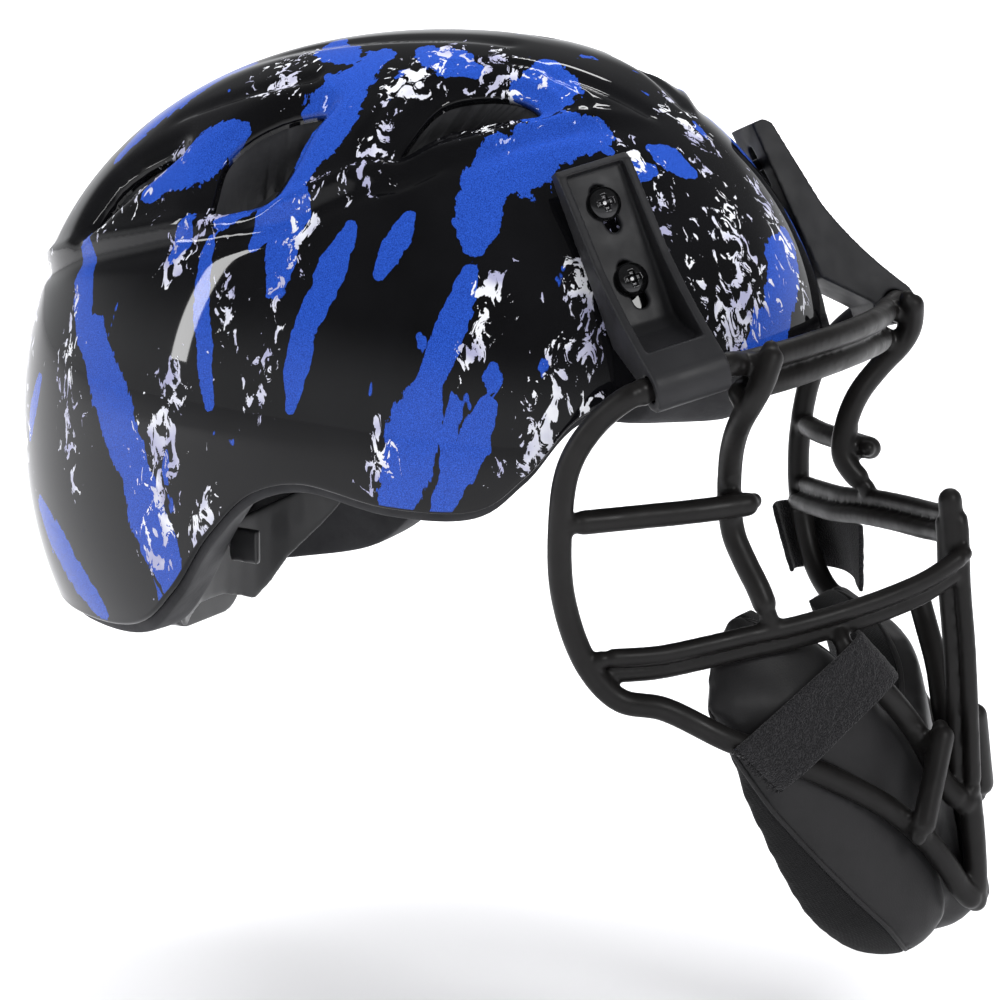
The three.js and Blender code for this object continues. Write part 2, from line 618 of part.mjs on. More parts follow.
// A strap: rows across its width, each a path along it, thickened along the
// path's own outward side.
function strap(name, rows) {
  const offset = rows.map((path) => path.map((p, i) => {
    const along = V(...path[Math.min(i + 1, path.length - 1)]).sub(V(...path[Math.max(i - 1, 0)]));
    const width = V(...rows[rows.length - 1][i]).sub(V(...rows[0][i]));
    const side = width.cross(along).normalize();
    return V(...p).addScaledVector(side, STRAP_THICK).toArray();
  }));
  add(name, skinSlab(rows, offset), 'fabric');
}

const mix = (a, b, t) => V(...a).lerp(V(...b), t);

// The right strap lies over the perimeter wire and the lower wire.
const OVER_PERIMETER = [[-67, -154, -55], [-49.5, -171.5, -65.5]];
const OVER_LOWER_WIRE = [[-34.4, -178, -26], [-26, -186, -39.5]];
const rightStrap = [0, 0.5, 1].map((t) => {
  const a = mix(...OVER_PERIMETER, t);
  const b = mix(...OVER_LOWER_WIRE, t);
  const along = b.clone().sub(a).normalize();
  const wide = V(...OVER_PERIMETER[1]).sub(V(...OVER_PERIMETER[0])).normalize();
  const out = wide.clone().cross(along).normalize();
  if (out.y > 0) out.negate();
  const length = a.distanceTo(b);
  const at = (forward, up) => a.clone().addScaledVector(along, forward).addScaledVector(out, up).toArray();
  const start = THREE.MathUtils.lerp(-2, -11, t);
  return [at(start, 4.4 - 4.6 * t), at(start + 2.2, 4.8 - 2.8 * t), at(2.5, 5), at(length / 2, 5.4),
    at(length, 5), at(length + 4.5, 3.6), at(length + 6, 0)];
});
strap('pad_strap_right', rightStrap);

// The left strap runs from the perimeter wire to the pad's left wing.
const leftStrap = [-35, -23, -11].map((z) => {
  const lean = (z + 13) * 0.16;
  const back = (z + 13) * 0.4;
  return [[89 + lean, -99 + back, z], [96 + lean, -97.5 + back, z], [101.5 + lean, -104 + back, z],
    [99.5 + lean, -113 + back, z], [90 + lean, -122 + back, z], [79 + lean, -131.5 + back * 0.6, z],
    [71 + lean, -139.5 + back * 0.2, z]];
});
strap('pad_strap_left', leftStrap);

// ---- Rear retention --------------------------------------------------------

const ARM_X = 54.5;
const ARM_THICK = 2.4;
const ARM_BOTTOM = -14;
const ARM_HEIGHT = 12;

function armGeometry() {
  const t = ARM_THICK / 2;
  const outline = new THREE.Shape([
    [-75, 26], [-73.5, 38], [-ARM_X - t, 50], [-ARM_X - t, 77], [-ARM_X + t, 77], [-ARM_X + t, 48.5],
    [-70.6, 36], [-72, 26],
  ].map(([x, y]) => new THREE.Vector2(x, y)));
  return outward(weld(new THREE.ExtrudeGeometry(outline, { depth: ARM_HEIGHT, bevelEnabled: false })
    .translate(0, 0, ARM_BOTTOM)));
}

function sleeveGeometry() {
  const wall = 2.4;
  const slack = 0.5;
  const outer = new THREE.BoxGeometry(ARM_THICK + 2 * (wall + slack), 12, ARM_HEIGHT + 2 * (wall + slack));
  const inner = new THREE.BoxGeometry(ARM_THICK + 2 * slack, 20, ARM_HEIGHT + 2 * slack);
  return cut(outer, [inner]).translate(-ARM_X, 63, ARM_BOTTOM + ARM_HEIGHT / 2);
}

for (const [side, copy] of [['right', (g) => g], ['left', mirrored]]) {
  add(`retention_arm_${side}`, copy(armGeometry()), 'dial');
  add(`cradle_sleeve_${side}`, copy(sleeveGeometry()), 'dial');
}

const CRADLE_HALF = 50;
const CRADLE_FRONT = 62;
const CRADLE_REAR = 96;
const CRADLE_THICK = 2.4;
const cradleSheet = (inward) => Array.from({ length: 4 }, (_, r) => Array.from({ length: 19 }, (_unused, i) => {
  const turn = i / 9 - 1;
  const angle = (turn * Math.PI) / 2;
  const middle = 1 - turn ** 2;
  const lobe = Math.exp(-(((Math.abs(turn) - 0.35) / 0.14) ** 2));
  const top = -1 - 22 * middle;
  const bottom = -15 - 36 * middle - 9 * lobe;
  return [(CRADLE_HALF - inward) * Math.sin(angle),
    CRADLE_FRONT + (CRADLE_REAR - CRADLE_FRONT - inward) * Math.cos(angle),
    THREE.MathUtils.lerp(top, bottom, r / 3)];
}));
add('cradle_band', skinSlab(cradleSheet(0), cradleSheet(CRADLE_THICK)), 'dial');

const DIAL_HEIGHT = -46;
const HOUSING_DEPTH = 13;
const housing = new THREE.Shape();
housing.absarc(12, 0, 13, -Math.PI / 2, Math.PI / 2, false);
housing.absarc(-12, 0, 13, Math.PI / 2, -Math.PI / 2, false);
const housingSolid = new THREE.ExtrudeGeometry(housing, { depth: HOUSING_DEPTH, bevelEnabled: false, curveSegments: 8 })
  .rotateX(Math.PI / 2).translate(0, CRADLE_REAR + GAP + HOUSING_DEPTH, DIAL_HEIGHT);
const PINION_RADIUS = 6;
const hub = new THREE.CylinderGeometry(PINION_RADIUS + 0.5, PINION_RADIUS + 0.5, 20, 20)
  .translate(0, CRADLE_REAR + GAP + HOUSING_DEPTH + 1, DIAL_HEIGHT);
add('adjuster_housing', cut(housingSolid, [hub]), 'dial');

const DIAL_RADIUS = 15.5;
const DIAL_DEPTH = 8;
const knob = new THREE.Shape();
const RIBS = 20;
for (let i = 0; i < 2 * RIBS; i += 1) {
  const r = i % 2 ? DIAL_RADIUS : DIAL_RADIUS - 1.2;
  const a = (i * Math.PI) / RIBS;
  knob[i ? 'lineTo' : 'moveTo'](r * Math.cos(a), r * Math.sin(a));
}
const dialFace = CRADLE_REAR + HOUSING_DEPTH + 2 * GAP + DIAL_DEPTH;
add('fit_dial', new THREE.ExtrudeGeometry(knob, { depth: DIAL_DEPTH, bevelEnabled: false })
  .rotateX(Math.PI / 2).translate(0, dialFace, DIAL_HEIGHT), 'dial');
add('dial_pinion', new THREE.CylinderGeometry(PINION_RADIUS, PINION_RADIUS, 8, 16)
  .translate(0, CRADLE_REAR + HOUSING_DEPTH - 3.9 + GAP, DIAL_HEIGHT), 'dial');

export default model;
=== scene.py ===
"""Looks for a vented shell helmet with a wire face cage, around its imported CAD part."""

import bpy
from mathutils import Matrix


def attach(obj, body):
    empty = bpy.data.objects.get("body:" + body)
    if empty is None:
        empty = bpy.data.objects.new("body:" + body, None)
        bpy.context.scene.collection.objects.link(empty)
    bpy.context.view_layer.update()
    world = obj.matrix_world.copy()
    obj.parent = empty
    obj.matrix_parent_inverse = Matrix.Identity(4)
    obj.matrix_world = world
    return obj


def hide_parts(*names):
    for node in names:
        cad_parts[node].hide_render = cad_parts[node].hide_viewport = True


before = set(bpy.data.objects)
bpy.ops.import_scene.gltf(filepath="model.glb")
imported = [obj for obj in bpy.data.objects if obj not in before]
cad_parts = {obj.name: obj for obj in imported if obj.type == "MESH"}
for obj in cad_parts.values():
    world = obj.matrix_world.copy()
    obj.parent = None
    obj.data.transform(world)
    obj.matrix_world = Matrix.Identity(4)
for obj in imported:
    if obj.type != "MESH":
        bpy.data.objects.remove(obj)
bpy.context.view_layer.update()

import math

import bmesh
import bpy
import numpy as np
from mathutils import Vector

MM = 0.001
# How much of a tube's radius its round end takes from its length.
END_TRIM = 0.75
ONE_SUBDIVISION = ("SUBSURF", {"levels": 1, "render_levels": 1})
rng = np.random.default_rng(7)
scene = bpy.context.scene


# ---- Mesh helpers. Points are in millimetres until they become an object ----

def placed(name, data):
    """An object in the scene, holding a mesh, a light or a camera."""
    obj = bpy.data.objects.new(name, data)
    scene.collection.objects.link(obj)
    return obj


def new_object(name, points, faces):
    """A smooth-shaded mesh object from points in millimetres."""
    mesh = bpy.data.meshes.new(name)
    mesh.from_pydata((np.asarray(points, float) * MM).tolist(), [], faces)
    mesh.validate()
    shape = bmesh.new()
    shape.from_mesh(mesh)
    bmesh.ops.recalc_face_normals(shape, faces=shape.faces)
    shape.to_mesh(mesh)
    shape.free()
    mesh.shade_smooth()
    return placed(name, mesh)


def smoothing_by(iterations):
    return ("SMOOTH", {"factor": 0.5, "iterations": iterations})


def baked(obj, *modifiers):
    """Adds modifiers, given as (type, settings), and applies them all."""
    for kind, settings in modifiers:
        modifier = obj.modifiers.new(kind, kind)
        for key, value in settings.items():
            setattr(modifier, key, value)
    depsgraph = bpy.context.evaluated_depsgraph_get()
    mesh = bpy.data.meshes.new_from_object(obj.evaluated_get(depsgraph))
    obj.modifiers.clear()
    old, obj.data = obj.data, mesh
    bpy.data.meshes.remove(old)
    mesh.shade_smooth()
    return obj


def remeshed(obj, voxel, smoothing):
    """Makes one closed skin of whatever overlaps in a piece, and smooths it."""
    return baked(obj, ("REMESH", {"mode": "VOXEL", "voxel_size": voxel * MM}), smoothing_by(smoothing))


def coordinates(obj):
    points = np.zeros(len(obj.data.vertices) * 3, np.float32)
    obj.data.vertices.foreach_get("co", points)
    return points.reshape(-1, 3).astype(float) / MM


def set_coordinates(obj, points):
    obj.data.vertices.foreach_set("co", (points * MM).astype(np.float32).ravel())
    obj.data.update()


def set_attribute(obj, name, values):
    attribute = obj.data.attributes.new(name, "FLOAT", "POINT")
    attribute.data.foreach_set("value", np.asarray(values, np.float32))


def smoothstep(x):
    t = np.clip(x, 0, 1)
    return t * t * (3 - 2 * t)


def unit(vectors):
    return vectors / np.linalg.norm(vectors, axis=-1, keepdims=True)


def full_turn(count):
    return np.linspace(0, 2 * math.pi, count, endpoint=False)


def bump_at(x, width):
    return np.exp(-((x / width) ** 2))


def mirror(points):
    return [(-x, y, z) for x, y, z in points]


def spline(points, step=1.5, closed=False):
    """Points along a centripetal Catmull-Rom curve through the given ones."""
    p = np.array(points, float)
    if closed:
        p = np.vstack([p, p[0]])
        ext = np.vstack([p[-2], p, p[1]])
    else:
        ext = np.vstack([2 * p[0] - p[1], p, 2 * p[-1] - p[-2]])
    out = []
    for i in range(len(p) - 1):
        q = ext[i:i + 4]
        knots = np.concatenate([[0], np.cumsum(np.linalg.norm(np.diff(q, axis=0), axis=1) ** 0.5)])
        count = max(2, int(np.linalg.norm(q[2] - q[1]) / step))
        t = np.linspace(knots[1], knots[2], count, endpoint=False)[:, None]

        def between(a, b, j, k):
            return (a * (knots[k] - t) + b * (t - knots[j])) / (knots[k] - knots[j])

        a = [between(q[j], q[j + 1], j, j + 1) for j in range(3)]
        b = [between(a[0], a[1], 0, 2), between(a[1], a[2], 1, 3)]
        out.append(between(b[0], b[1], 1, 2))
    if not closed:
        out.append(p[-1:])
    return np.vstack(out)


def sweep(path, radius, sides=18):
    """A closed tube with round ends along a path: its points and faces."""
    path = np.asarray(path, float)
    run = np.concatenate([[0], np.cumsum(np.linalg.norm(np.diff(path, axis=0), axis=1))])
    if run[-1] > 5 * radius:
        kept = path[(run > radius * END_TRIM) & (run < run[-1] - radius * END_TRIM)]
        path = kept if len(kept) > 3 else path
    tangent = unit(np.gradient(path, axis=0))
    side = unit(np.cross(tangent[0], [0.31, 0.2, 0.93]))    # any direction off the tube's own
    angles = full_turn(sides)[:, None]
    cap = np.linspace(0, math.pi / 2, 6)[1:]
    frames = []
    for point, direction in zip(path, tangent):
        side = unit(side - direction * side.dot(direction))
        frames.append((point, direction, side, np.cross(direction, side)))

    def ring(place, along, scale):
        point, direction, s, u = place
        scale = max(scale, 0.02)
        return point + direction * along + radius * scale * (np.cos(angles) * s + np.sin(angles) * u)

    rings = [ring(frames[0], -radius * math.sin(a), math.cos(a)) for a in cap[::-1]]
    rings += [ring(place, 0, 1) for place in frames]
    rings += [ring(frames[-1], radius * math.sin(a), math.cos(a)) for a in cap]
    points = np.vstack(rings)
    faces = grid_faces(len(rings), sides, wrap=True)
    last = len(points) - sides
    faces.append(list(range(sides))[::-1])
    faces.append(list(range(last, last + sides)))
    return points, faces


def grid_faces(rows, columns, wrap=False, flip=False, start=0):
    """Quads over a grid of points, whose columns may join up."""
    faces = []
    for r in range(rows - 1):
        for i in range(columns if wrap else columns - 1):
            j = (i + 1) % columns
            face = [start + r * columns + i, start + r * columns + j,
                    start + (r + 1) * columns + j, start + (r + 1) * columns + i]
            faces.append(face[::-1] if flip else face)
    return faces


def merged(parts):
    """One list of points and faces from several."""
    points, faces, start = [], [], 0
    for p, f in parts:
        points.append(np.asarray(p, float))
        faces += [[start + k for k in face] for face in f]
        start += len(p)
    return np.vstack(points), faces


def distance_to_path(points, path):
    """Distance from each point to the nearest sample of a path, and that sample's index."""
    best = np.full(len(points), np.inf)
    index = np.zeros(len(points), int)
    for k, sample in enumerate(path):
        d = ((points - sample) ** 2).sum(axis=1)
        closer = d < best
        best[closer] = d[closer]
        index[closer] = k
    return np.sqrt(best), index


# ---- Materials ----

class Nodes:
    """Short names for building the node tree of a material or of the world."""

    def __init__(self, owner, shader="Principled BSDF", place="Object"):
        owner.use_nodes = True
        self.owner = owner
        self.tree = owner.node_tree
        self.shader = self.tree.nodes[shader]
        self.place = self.added("TexCoord").outputs[place]

    def set(self, **sockets):
        for name, value in sockets.items():
            self.shader.inputs[name.replace("_", " ")].default_value = value

    def link(self, source, target):
        self.tree.links.new(source, target)

    def to_shader(self, source, socket):
        self.link(source, self.shader.inputs[socket])

    def added(self, kind, vector=None, **sockets):
        """A new node with its sockets set, and its vector linked if one is given."""
        node = self.tree.nodes.new("ShaderNode" + kind)
        for name, value in sockets.items():
            node.inputs[name.replace("_", " ")].default_value = value
        if vector is not None:
            self.link(vector, node.inputs["Vector"])
        return node

    def scaled(self, scale, turn):
        return self.added("Mapping", self.place, Scale=scale, Rotation=turn).outputs["Vector"]

    def noise(self, scale, detail=2.0, rough=0.5, distortion=0.0, vector=None):
        node = self.added("TexNoise", vector or self.place, Scale=scale, Detail=detail,
                          Roughness=rough, Distortion=distortion)
        return node.outputs["Fac"]

    def cells(self, scale, feature="F1"):
        node = self.added("TexVoronoi", self.place, Scale=scale)
        node.feature = feature
        return node.outputs["Distance"]

    def wave(self, scale, direction, vector):
        node = self.added("TexWave", vector, Scale=scale)
        node.bands_direction = direction
        return node.outputs["Fac"]

    def attribute(self, name):
        node = self.added("Attribute")
        node.attribute_name = name
        return node.outputs["Fac"]

    def math(self, operation, a, b):
        node = self.added("Math")
        node.operation = operation
        for socket, value in zip(node.inputs, (a, b)):
            if isinstance(value, (int, float)):
                socket.default_value = value
            else:
                self.link(value, socket)
        return node.outputs[0]

    def ranged(self, value, low, high, to_low=0.0, to_high=1.0, kind="LINEAR"):
        node = self.added("MapRange", From_Min=low, From_Max=high, To_Min=to_low, To_Max=to_high)
        node.interpolation_type = kind
        self.link(value, node.inputs["Value"])
        return node.outputs["Result"]

    def coloured(self, factor, dark, light):
        self.to_shader(self.mix(factor, dark, light), "Base Color")

    def roughened(self, value, least, most):
        self.to_shader(self.ranged(value, 0.3, 0.7, least, most), "Roughness")

    def mix(self, factor, a, b):
        node = self.added("Mix")
        node.data_type = "RGBA"
        self.link(factor, node.inputs["Factor"])
        for socket, value in ((node.inputs[6], a), (node.inputs[7], b)):
            if isinstance(value, tuple):
                socket.default_value = (*value, 1)      # a colour and its alpha
            else:
                self.link(value, socket)
        return node.outputs[2]

    def bump(self, *layers):
        """Layers are (height, strength, distance in mm), the finest last."""
        normal = None
        for height, strength, distance in layers:
            node = self.added("Bump", Strength=strength, Distance=distance * MM)
            self.link(height, node.inputs["Height"])
            if normal is not None:
                self.link(normal, node.inputs["Normal"])
            normal = node.outputs["Normal"]
        self.to_shader(normal, "Normal")


# Plain finishes: the darker and lighter colour, the least and most roughness, how
# fine their patches are, the surface grains as (pattern, its settings, strength,
# distance in mm), and the shader's other sockets.
FINISHES = {
    "vinyl_dip": ((0.0058, 0.0053, 0.0052), (0.0095, 0.0088, 0.0086), (0.34, 0.5), 60, [
        ("noise", (140, 2), 0.25, 0.35), ("noise", (1500, 3), 0.12, 0.05),
    ], {"Specular_IOR_Level": 0.22}),
    "moulded_clip": ((0.012, 0.012, 0.0135), (0.019, 0.019, 0.021), (0.42, 0.58), 45, [
        ("noise", (90, 2), 0.12, 0.25), ("noise", (2600, 2), 0.3, 0.05),
    ], {"Specular_IOR_Level": 0.28}),
    "black_screw": ((0.012, 0.012, 0.013), (0.03, 0.03, 0.032), (0.1, 0.26), 220, [
        ("noise", (900, 2), 0.1, 0.03),
    ], {"Metallic": 0.85, "Coat_Weight": 0.6, "Coat_Roughness": 0.08}),
    "zinc_nut": ((0.32, 0.32, 0.33), (0.5, 0.5, 0.5), (0.28, 0.45), 200, [
        ("noise", (1200, 2), 0.2, 0.04),
    ], {"Metallic": 1.0}),
    "synthetic_leather": ((0.011, 0.0106, 0.0112), (0.019, 0.0185, 0.0195), (0.4, 0.55), 30, [
        ("noise", (45, 3), 0.3, 0.8), ("cells", (900, "DISTANCE_TO_EDGE"), 0.35, 0.12),
        ("noise", (2400, 3), 0.25, 0.05),
    ], {"Sheen_Weight": 0.05, "Sheen_Roughness": 0.5, "Specular_IOR_Level": 0.22}),
    "moulded_foam": ((0.012, 0.012, 0.014), (0.03, 0.03, 0.033), (0.7, 0.9), 35, [
        ("cells", (330, "DISTANCE_TO_EDGE"), 0.35, 0.35), ("noise", (1300, 3), 0.3, 0.1),
    ], {}),
    "satin_nylon": ((0.009, 0.009, 0.010), (0.017, 0.017, 0.018), (0.3, 0.45), 40, [
        ("noise", (700, 2), 0.15, 0.06),
    ], {}),
}


def finish_material(name):
    """One of the plain finishes, whose colour and roughness vary in patches."""
    dark, light, rough, patch, grains, sockets = FINISHES[name]
    n = Nodes(bpy.data.materials.new(name))
    n.set(**sockets)
    n.coloured(n.ranged(n.noise(patch, 4, 0.6), 0.3, 0.7), dark, light)
    n.roughened(n.noise(patch * 2.3, 3), *rough)
    patterns = {"noise": n.noise, "cells": n.cells}
    n.bump(*[(patterns[kind](*settings), *depth) for kind, settings, *depth in grains])
    return n.owner


def woven(name, dark, light, pitch, sheen):
    """A matte knit of crossed threads."""
    n = Nodes(bpy.data.materials.new(name))
    n.set(Sheen_Weight=sheen, Sheen_Roughness=0.6, Specular_IOR_Level=0.3)
    turned = n.scaled((1, 1, 1), (0.5, 0.35, 0.7))
    threads = n.math("MULTIPLY", n.wave(pitch, "X", turned), n.wave(pitch, "Z", turned))
    fuzz = n.noise(1800, 4, 0.7)
    n.coloured(n.math("MULTIPLY", threads, fuzz), dark, light)
    n.roughened(fuzz, 0.82, 0.98)
    n.bump((n.noise(50, 3), 0.3, 0.8), (threads, 0.5, 0.25), (fuzz, 0.5, 0.15))
    return n.owner


def strap_material():
    """Fuzzy black loop tape."""
    n = Nodes(bpy.data.materials.new("loop_tape"))
    n.set(Sheen_Weight=0.12, Sheen_Roughness=0.45, Specular_IOR_Level=0.15)
    loops = n.cells(1700)
    fuzz = n.noise(2600, 5, 0.75)
    cover = n.math("MULTIPLY", loops, fuzz)
    n.coloured(n.ranged(cover, 0.1, 0.45), (0.006, 0.006, 0.007), (0.03, 0.029, 0.031))
    n.roughened(fuzz, 0.85, 1.0)
    n.bump((n.noise(120, 3), 0.4, 0.7), (loops, 0.8, 0.5), (fuzz, 0.8, 0.3))
    return n.owner


def paint_material():
    """Gloss black with royal blue streaks, ragged white splatter and a clear coat."""
    n = Nodes(bpy.data.materials.new("streaked_paint"))
    n.set(Coat_Weight=0.85, Coat_Roughness=0.03, Coat_IOR=1.4, Specular_IOR_Level=0.0)
    upright = n.scaled((1, 1, 0.42), (0.2, 0, 0))
    ragged = n.math("SUBTRACT", n.noise(75, 5, 0.62, 0.4, upright), 0.5)
    nibbled = n.math("SUBTRACT", n.noise(330, 3, 0.5, 0.5, upright), 0.5)
    field = n.math("ADD", n.attribute("streak"), n.math("MULTIPLY", ragged, 1.6))
    field = n.math("ADD", field, n.math("MULTIPLY", nibbled, 0.55))
    blue = n.ranged(field, -0.012, 0.012)
    speck = n.ranged(n.noise(85, 3, 0.5, 0.2, upright), 0.695, 0.705)
    blue = n.math("MAXIMUM", blue, speck)
    shreds = n.noise(185, 4, 0.62, 1.3, n.scaled((1, 1, 0.55), (0.35, 0, 0)))
    splash = n.math("ADD", shreds, n.math("MULTIPLY", n.attribute("splash"), 0.13))
    white = n.ranged(splash, 0.635, 0.645)
    flecks = n.noise(2600, 2, 0.8)
    blue_colour = n.mix(n.ranged(flecks, 0.35, 0.68), (0.008, 0.036, 0.26), (0.03, 0.12, 0.66))
    silver = n.mix(n.ranged(n.noise(60, 2), 0.4, 0.6), (0.85, 0.86, 0.9), (0.42, 0.42, 0.6))
    black = n.mix(n.ranged(n.noise(30, 3), 0.3, 0.7), (0.002, 0.002, 0.0025), (0.005, 0.005, 0.006))
    colour = n.mix(blue, black, blue_colour)
    colour = n.mix(white, colour, silver)
    n.coloured(n.attribute("inside"), colour, (0.006, 0.006, 0.007))
    n.roughened(n.noise(400, 3), 0.16, 0.3)
    n.bump((n.noise(26, 2), 0.05, 0.6), (n.noise(380, 2), 0.03, 0.1))
    return n.owner


def finished(obj, body, slot, material, *nodes):
    """Gives a piece its material and body, and hides the CAD nodes it stands for. The slot argument is not
    used.
    """
    obj.data.materials.clear()
    obj.data.materials.append(material)
    if nodes:
        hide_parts(*nodes)
    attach(obj, body)
    return obj


# ---- Helmet surfaces, as in the CAD part ----

SHELL_CENTRE = np.array([0, -17.5, 20.0])
SHELL_SIZE = {"front": 134.5, "rear": 175.0, "half": 108.5, "rise": 146.0}
CAVITY_CENTRE = np.array([0, -2.0, 20.0])
CAVITY_SIZE = {"front": 110.0, "rear": 110.0, "half": 81.0, "rise": 118.0}
SHELL_POWER = 2.2
SHELL_THICK = 3.0
GAP = 0.3

EDGE_KEYS = [
    (0, 63), (25, 62), (42, 55), (52, 34), (60, 22), (75, 21), (93, 26), (103, 21),
    (113, 4), (123, -20), (134, -36), (150, -40), (180, -38),
]
EDGE = spline([(b, z, 0) for b, z in EDGE_KEYS], 1)


def egg(direction, size, inset):
    x, y, z = np.moveaxis(direction, -1, 0)
    along = np.where(y < 0, size["front"], size["rear"]) - inset
    reach = (size["half"] - inset, along, size["rise"] - inset)
    total = sum((np.abs(part) / radius) ** SHELL_POWER for part, radius in zip((x, y, z), reach))
    return total ** (-1 / SHELL_POWER)


def heading(bearing, lift):
    bearing, lift = np.broadcast_arrays(bearing, lift)
    return np.stack([np.sin(bearing) * np.cos(lift), -np.cos(bearing) * np.cos(lift), np.sin(lift)], -1)


def shell_point(bearing, lift, inset=0.0):
    d = heading(bearing, lift)
    return SHELL_CENTRE + d * egg(d, SHELL_SIZE, inset)[..., None]


def cavity_point(bearing, lift, inset=0.0):
    d = heading(bearing, np.maximum(lift, 0))
    p = CAVITY_CENTRE + d * egg(d, CAVITY_SIZE, inset)[..., None]
    below = np.tan(np.minimum(lift, 0)) * np.hypot(p[..., 0], p[..., 1])
    p[..., 2] += below
    return p


def edge_height(bearing):
    turn = np.abs(np.degrees(np.arctan2(np.sin(bearing), np.cos(bearing))))
    return np.interp(turn, EDGE[:, 0], EDGE[:, 1])


def lift_at(surface, bearing, height, inset):
    low = np.full_like(bearing, math.radians(-60))
    high = np.full_like(bearing, math.radians(80))
    for _ in range(40):
        middle = (low + high) / 2
        under = surface(bearing, middle, inset)[..., 2] < height
        low = np.where(under, middle, low)
        high = np.where(under, high, middle)
    return (low + high) / 2


def dome_grid(surface, inset, around, rows, drop):
    bearing = full_turn(around)
    edge = lift_at(surface, bearing, edge_height(bearing) - drop, inset)
    share = np.linspace(0, 1, rows)[:, None] * 0.999
    return surface(bearing[None, :], edge + (math.pi / 2 - edge) * share, inset)


# ---- Relief of the shell ----

RIDGE = spline([
    (0, 148, 75), (-30, 142.8, 77), (-56, 119.8, 82.8), (-66.8, 103.4, 88), (-82, 63.1, 98.1),
    (-86.8, 7.1, 111.2), (-83.4, -10.6, 118.7), (-75.8, -33.3, 127.6), (-64.5, -57.5, 134.5),
    (-49.3, -71.9, 140.4), (-27.5, -90.8, 139.9),
], 0.7)
# How far the shell steps out above the ridge line, dips under it and crests over it.
RIDGE_STEP, RIDGE_DIP, RIDGE_CREST = 1.7, 1.2, 1.1
# Grooves in the top: the path, its width and its depth.
GROOVES = [
    (spline([(-48, 69, 135), (-50, 45, 146), (-47, 17, 152)], 2), 3.0, 1.6),
    (spline([(-24, -66, 155), (-19, -80, 149), (-13, -92, 142)], 2), 4.0, 2.2),
    (spline([(-20, 100, 118), (-22, 60, 146), (-20, 10, 162), (-14, -40, 162)], 2), 4.5, 1.0),
]
# Points this near a vent's outline move onto it.
VENT_SNAP = 0.8
# How far outside the front vent its terraces start, and the drop of each.
TERRACES, TERRACE_DROP = (16, 11, 6.5), 0.9
# Vent outlines on the right, how far their rims roll in, and whether terraces go round.
VENTS = [
    ([(-82, 40, 111), (-78, 42, 119), (-68, 41, 129), (-60, 25, 141), (-59, 6, 145),
      (-66, 8, 138), (-77, 10, 125), (-83, 16, 115)], 5.0, False),
    ([(-71.5, -30, 133), (-66, -31, 140), (-50, -37, 151), (-38, -60, 151), (-41, -69, 147),
      (-52, -58, 145), (-63, -42, 141)], 3.0, True),
    ([(-65, 100, 96), (-66, 93, 102), (-66, 72, 120), (-62, 62, 127), (-60, 70, 124),
      (-58, 92, 108)], 4.0, False),
]


def vent_field(points, outline):
    """Signed distance to a vent's outline, in its own plane, and the step onto it."""
    corners = np.array(outline, float)
    centre = corners.mean(axis=0)
    normal = unit(centre - SHELL_CENTRE)
    across = unit(np.cross([0, 0, 1], normal))
    up = np.cross(normal, across)
    flat = np.stack([(corners - centre) @ across, (corners - centre) @ up, np.zeros(len(corners))], -1)
    loop = spline(flat, 1.0, closed=True)[:, :2]
    near = np.linalg.norm(points - centre, axis=1) < 60
    q = np.stack([(points - centre) @ across, (points - centre) @ up], -1)[near]
    best = np.full(len(q), np.inf)
    step = np.zeros((len(q), 2))
    inside = np.zeros(len(q), bool)
    for a, b in zip(loop, np.roll(loop, -1, axis=0)):
        edge = b - a
        t = np.clip(((q - a) @ edge) / (edge @ edge), 0, 1)
        away = a + t[:, None] * edge - q
        d = np.hypot(away[:, 0], away[:, 1])
        closer = d < best
        best[closer] = d[closer]
        step[closer] = away[closer]
        crosses = (a[1] > q[:, 1]) != (b[1] > q[:, 1])
        rise = edge[1] if abs(edge[1]) > 1e-9 else 1e-9
        inside ^= crosses & (q[:, 0] < a[0] + (q[:, 1] - a[1]) / rise * edge[0])
    distance = np.full(len(points), 99.0)
    distance[near] = np.where(inside, -best, best)
    move = np.zeros((len(points), 3))
    move[near] = step[:, :1] * across + step[:, 1:] * up
    return distance, move


def shell_relief(points):
    """How far out of the plain shell each point stands, in millimetres."""
    q = points.copy()
    q[:, 0] = -np.abs(q[:, 0])
    distance, index = distance_to_path(q, RIDGE)
    tangent = np.gradient(RIDGE, axis=0)
    up = np.cross(tangent, RIDGE - SHELL_CENTRE)
    up *= (np.sign(up[:, 2]) / np.linalg.norm(up, axis=1))[:, None]
    above = ((q - RIDGE[index]) * up[index]).sum(axis=1)
    signed = np.where(distance < 15, above, np.sign(above) * distance)
    fade = smoothstep((q[:, 1] + 104) / 30)
    out = fade * (RIDGE_STEP * smoothstep((signed + 3) / 6) - RIDGE_DIP * bump_at(signed + 4, 3.4))
    out += fade * RIDGE_CREST * bump_at(signed - 3.5, 2.4)
    for path, width, depth in GROOVES:
        away, _ = distance_to_path(q, path)
        out -= depth * bump_at(away, width)
    return out


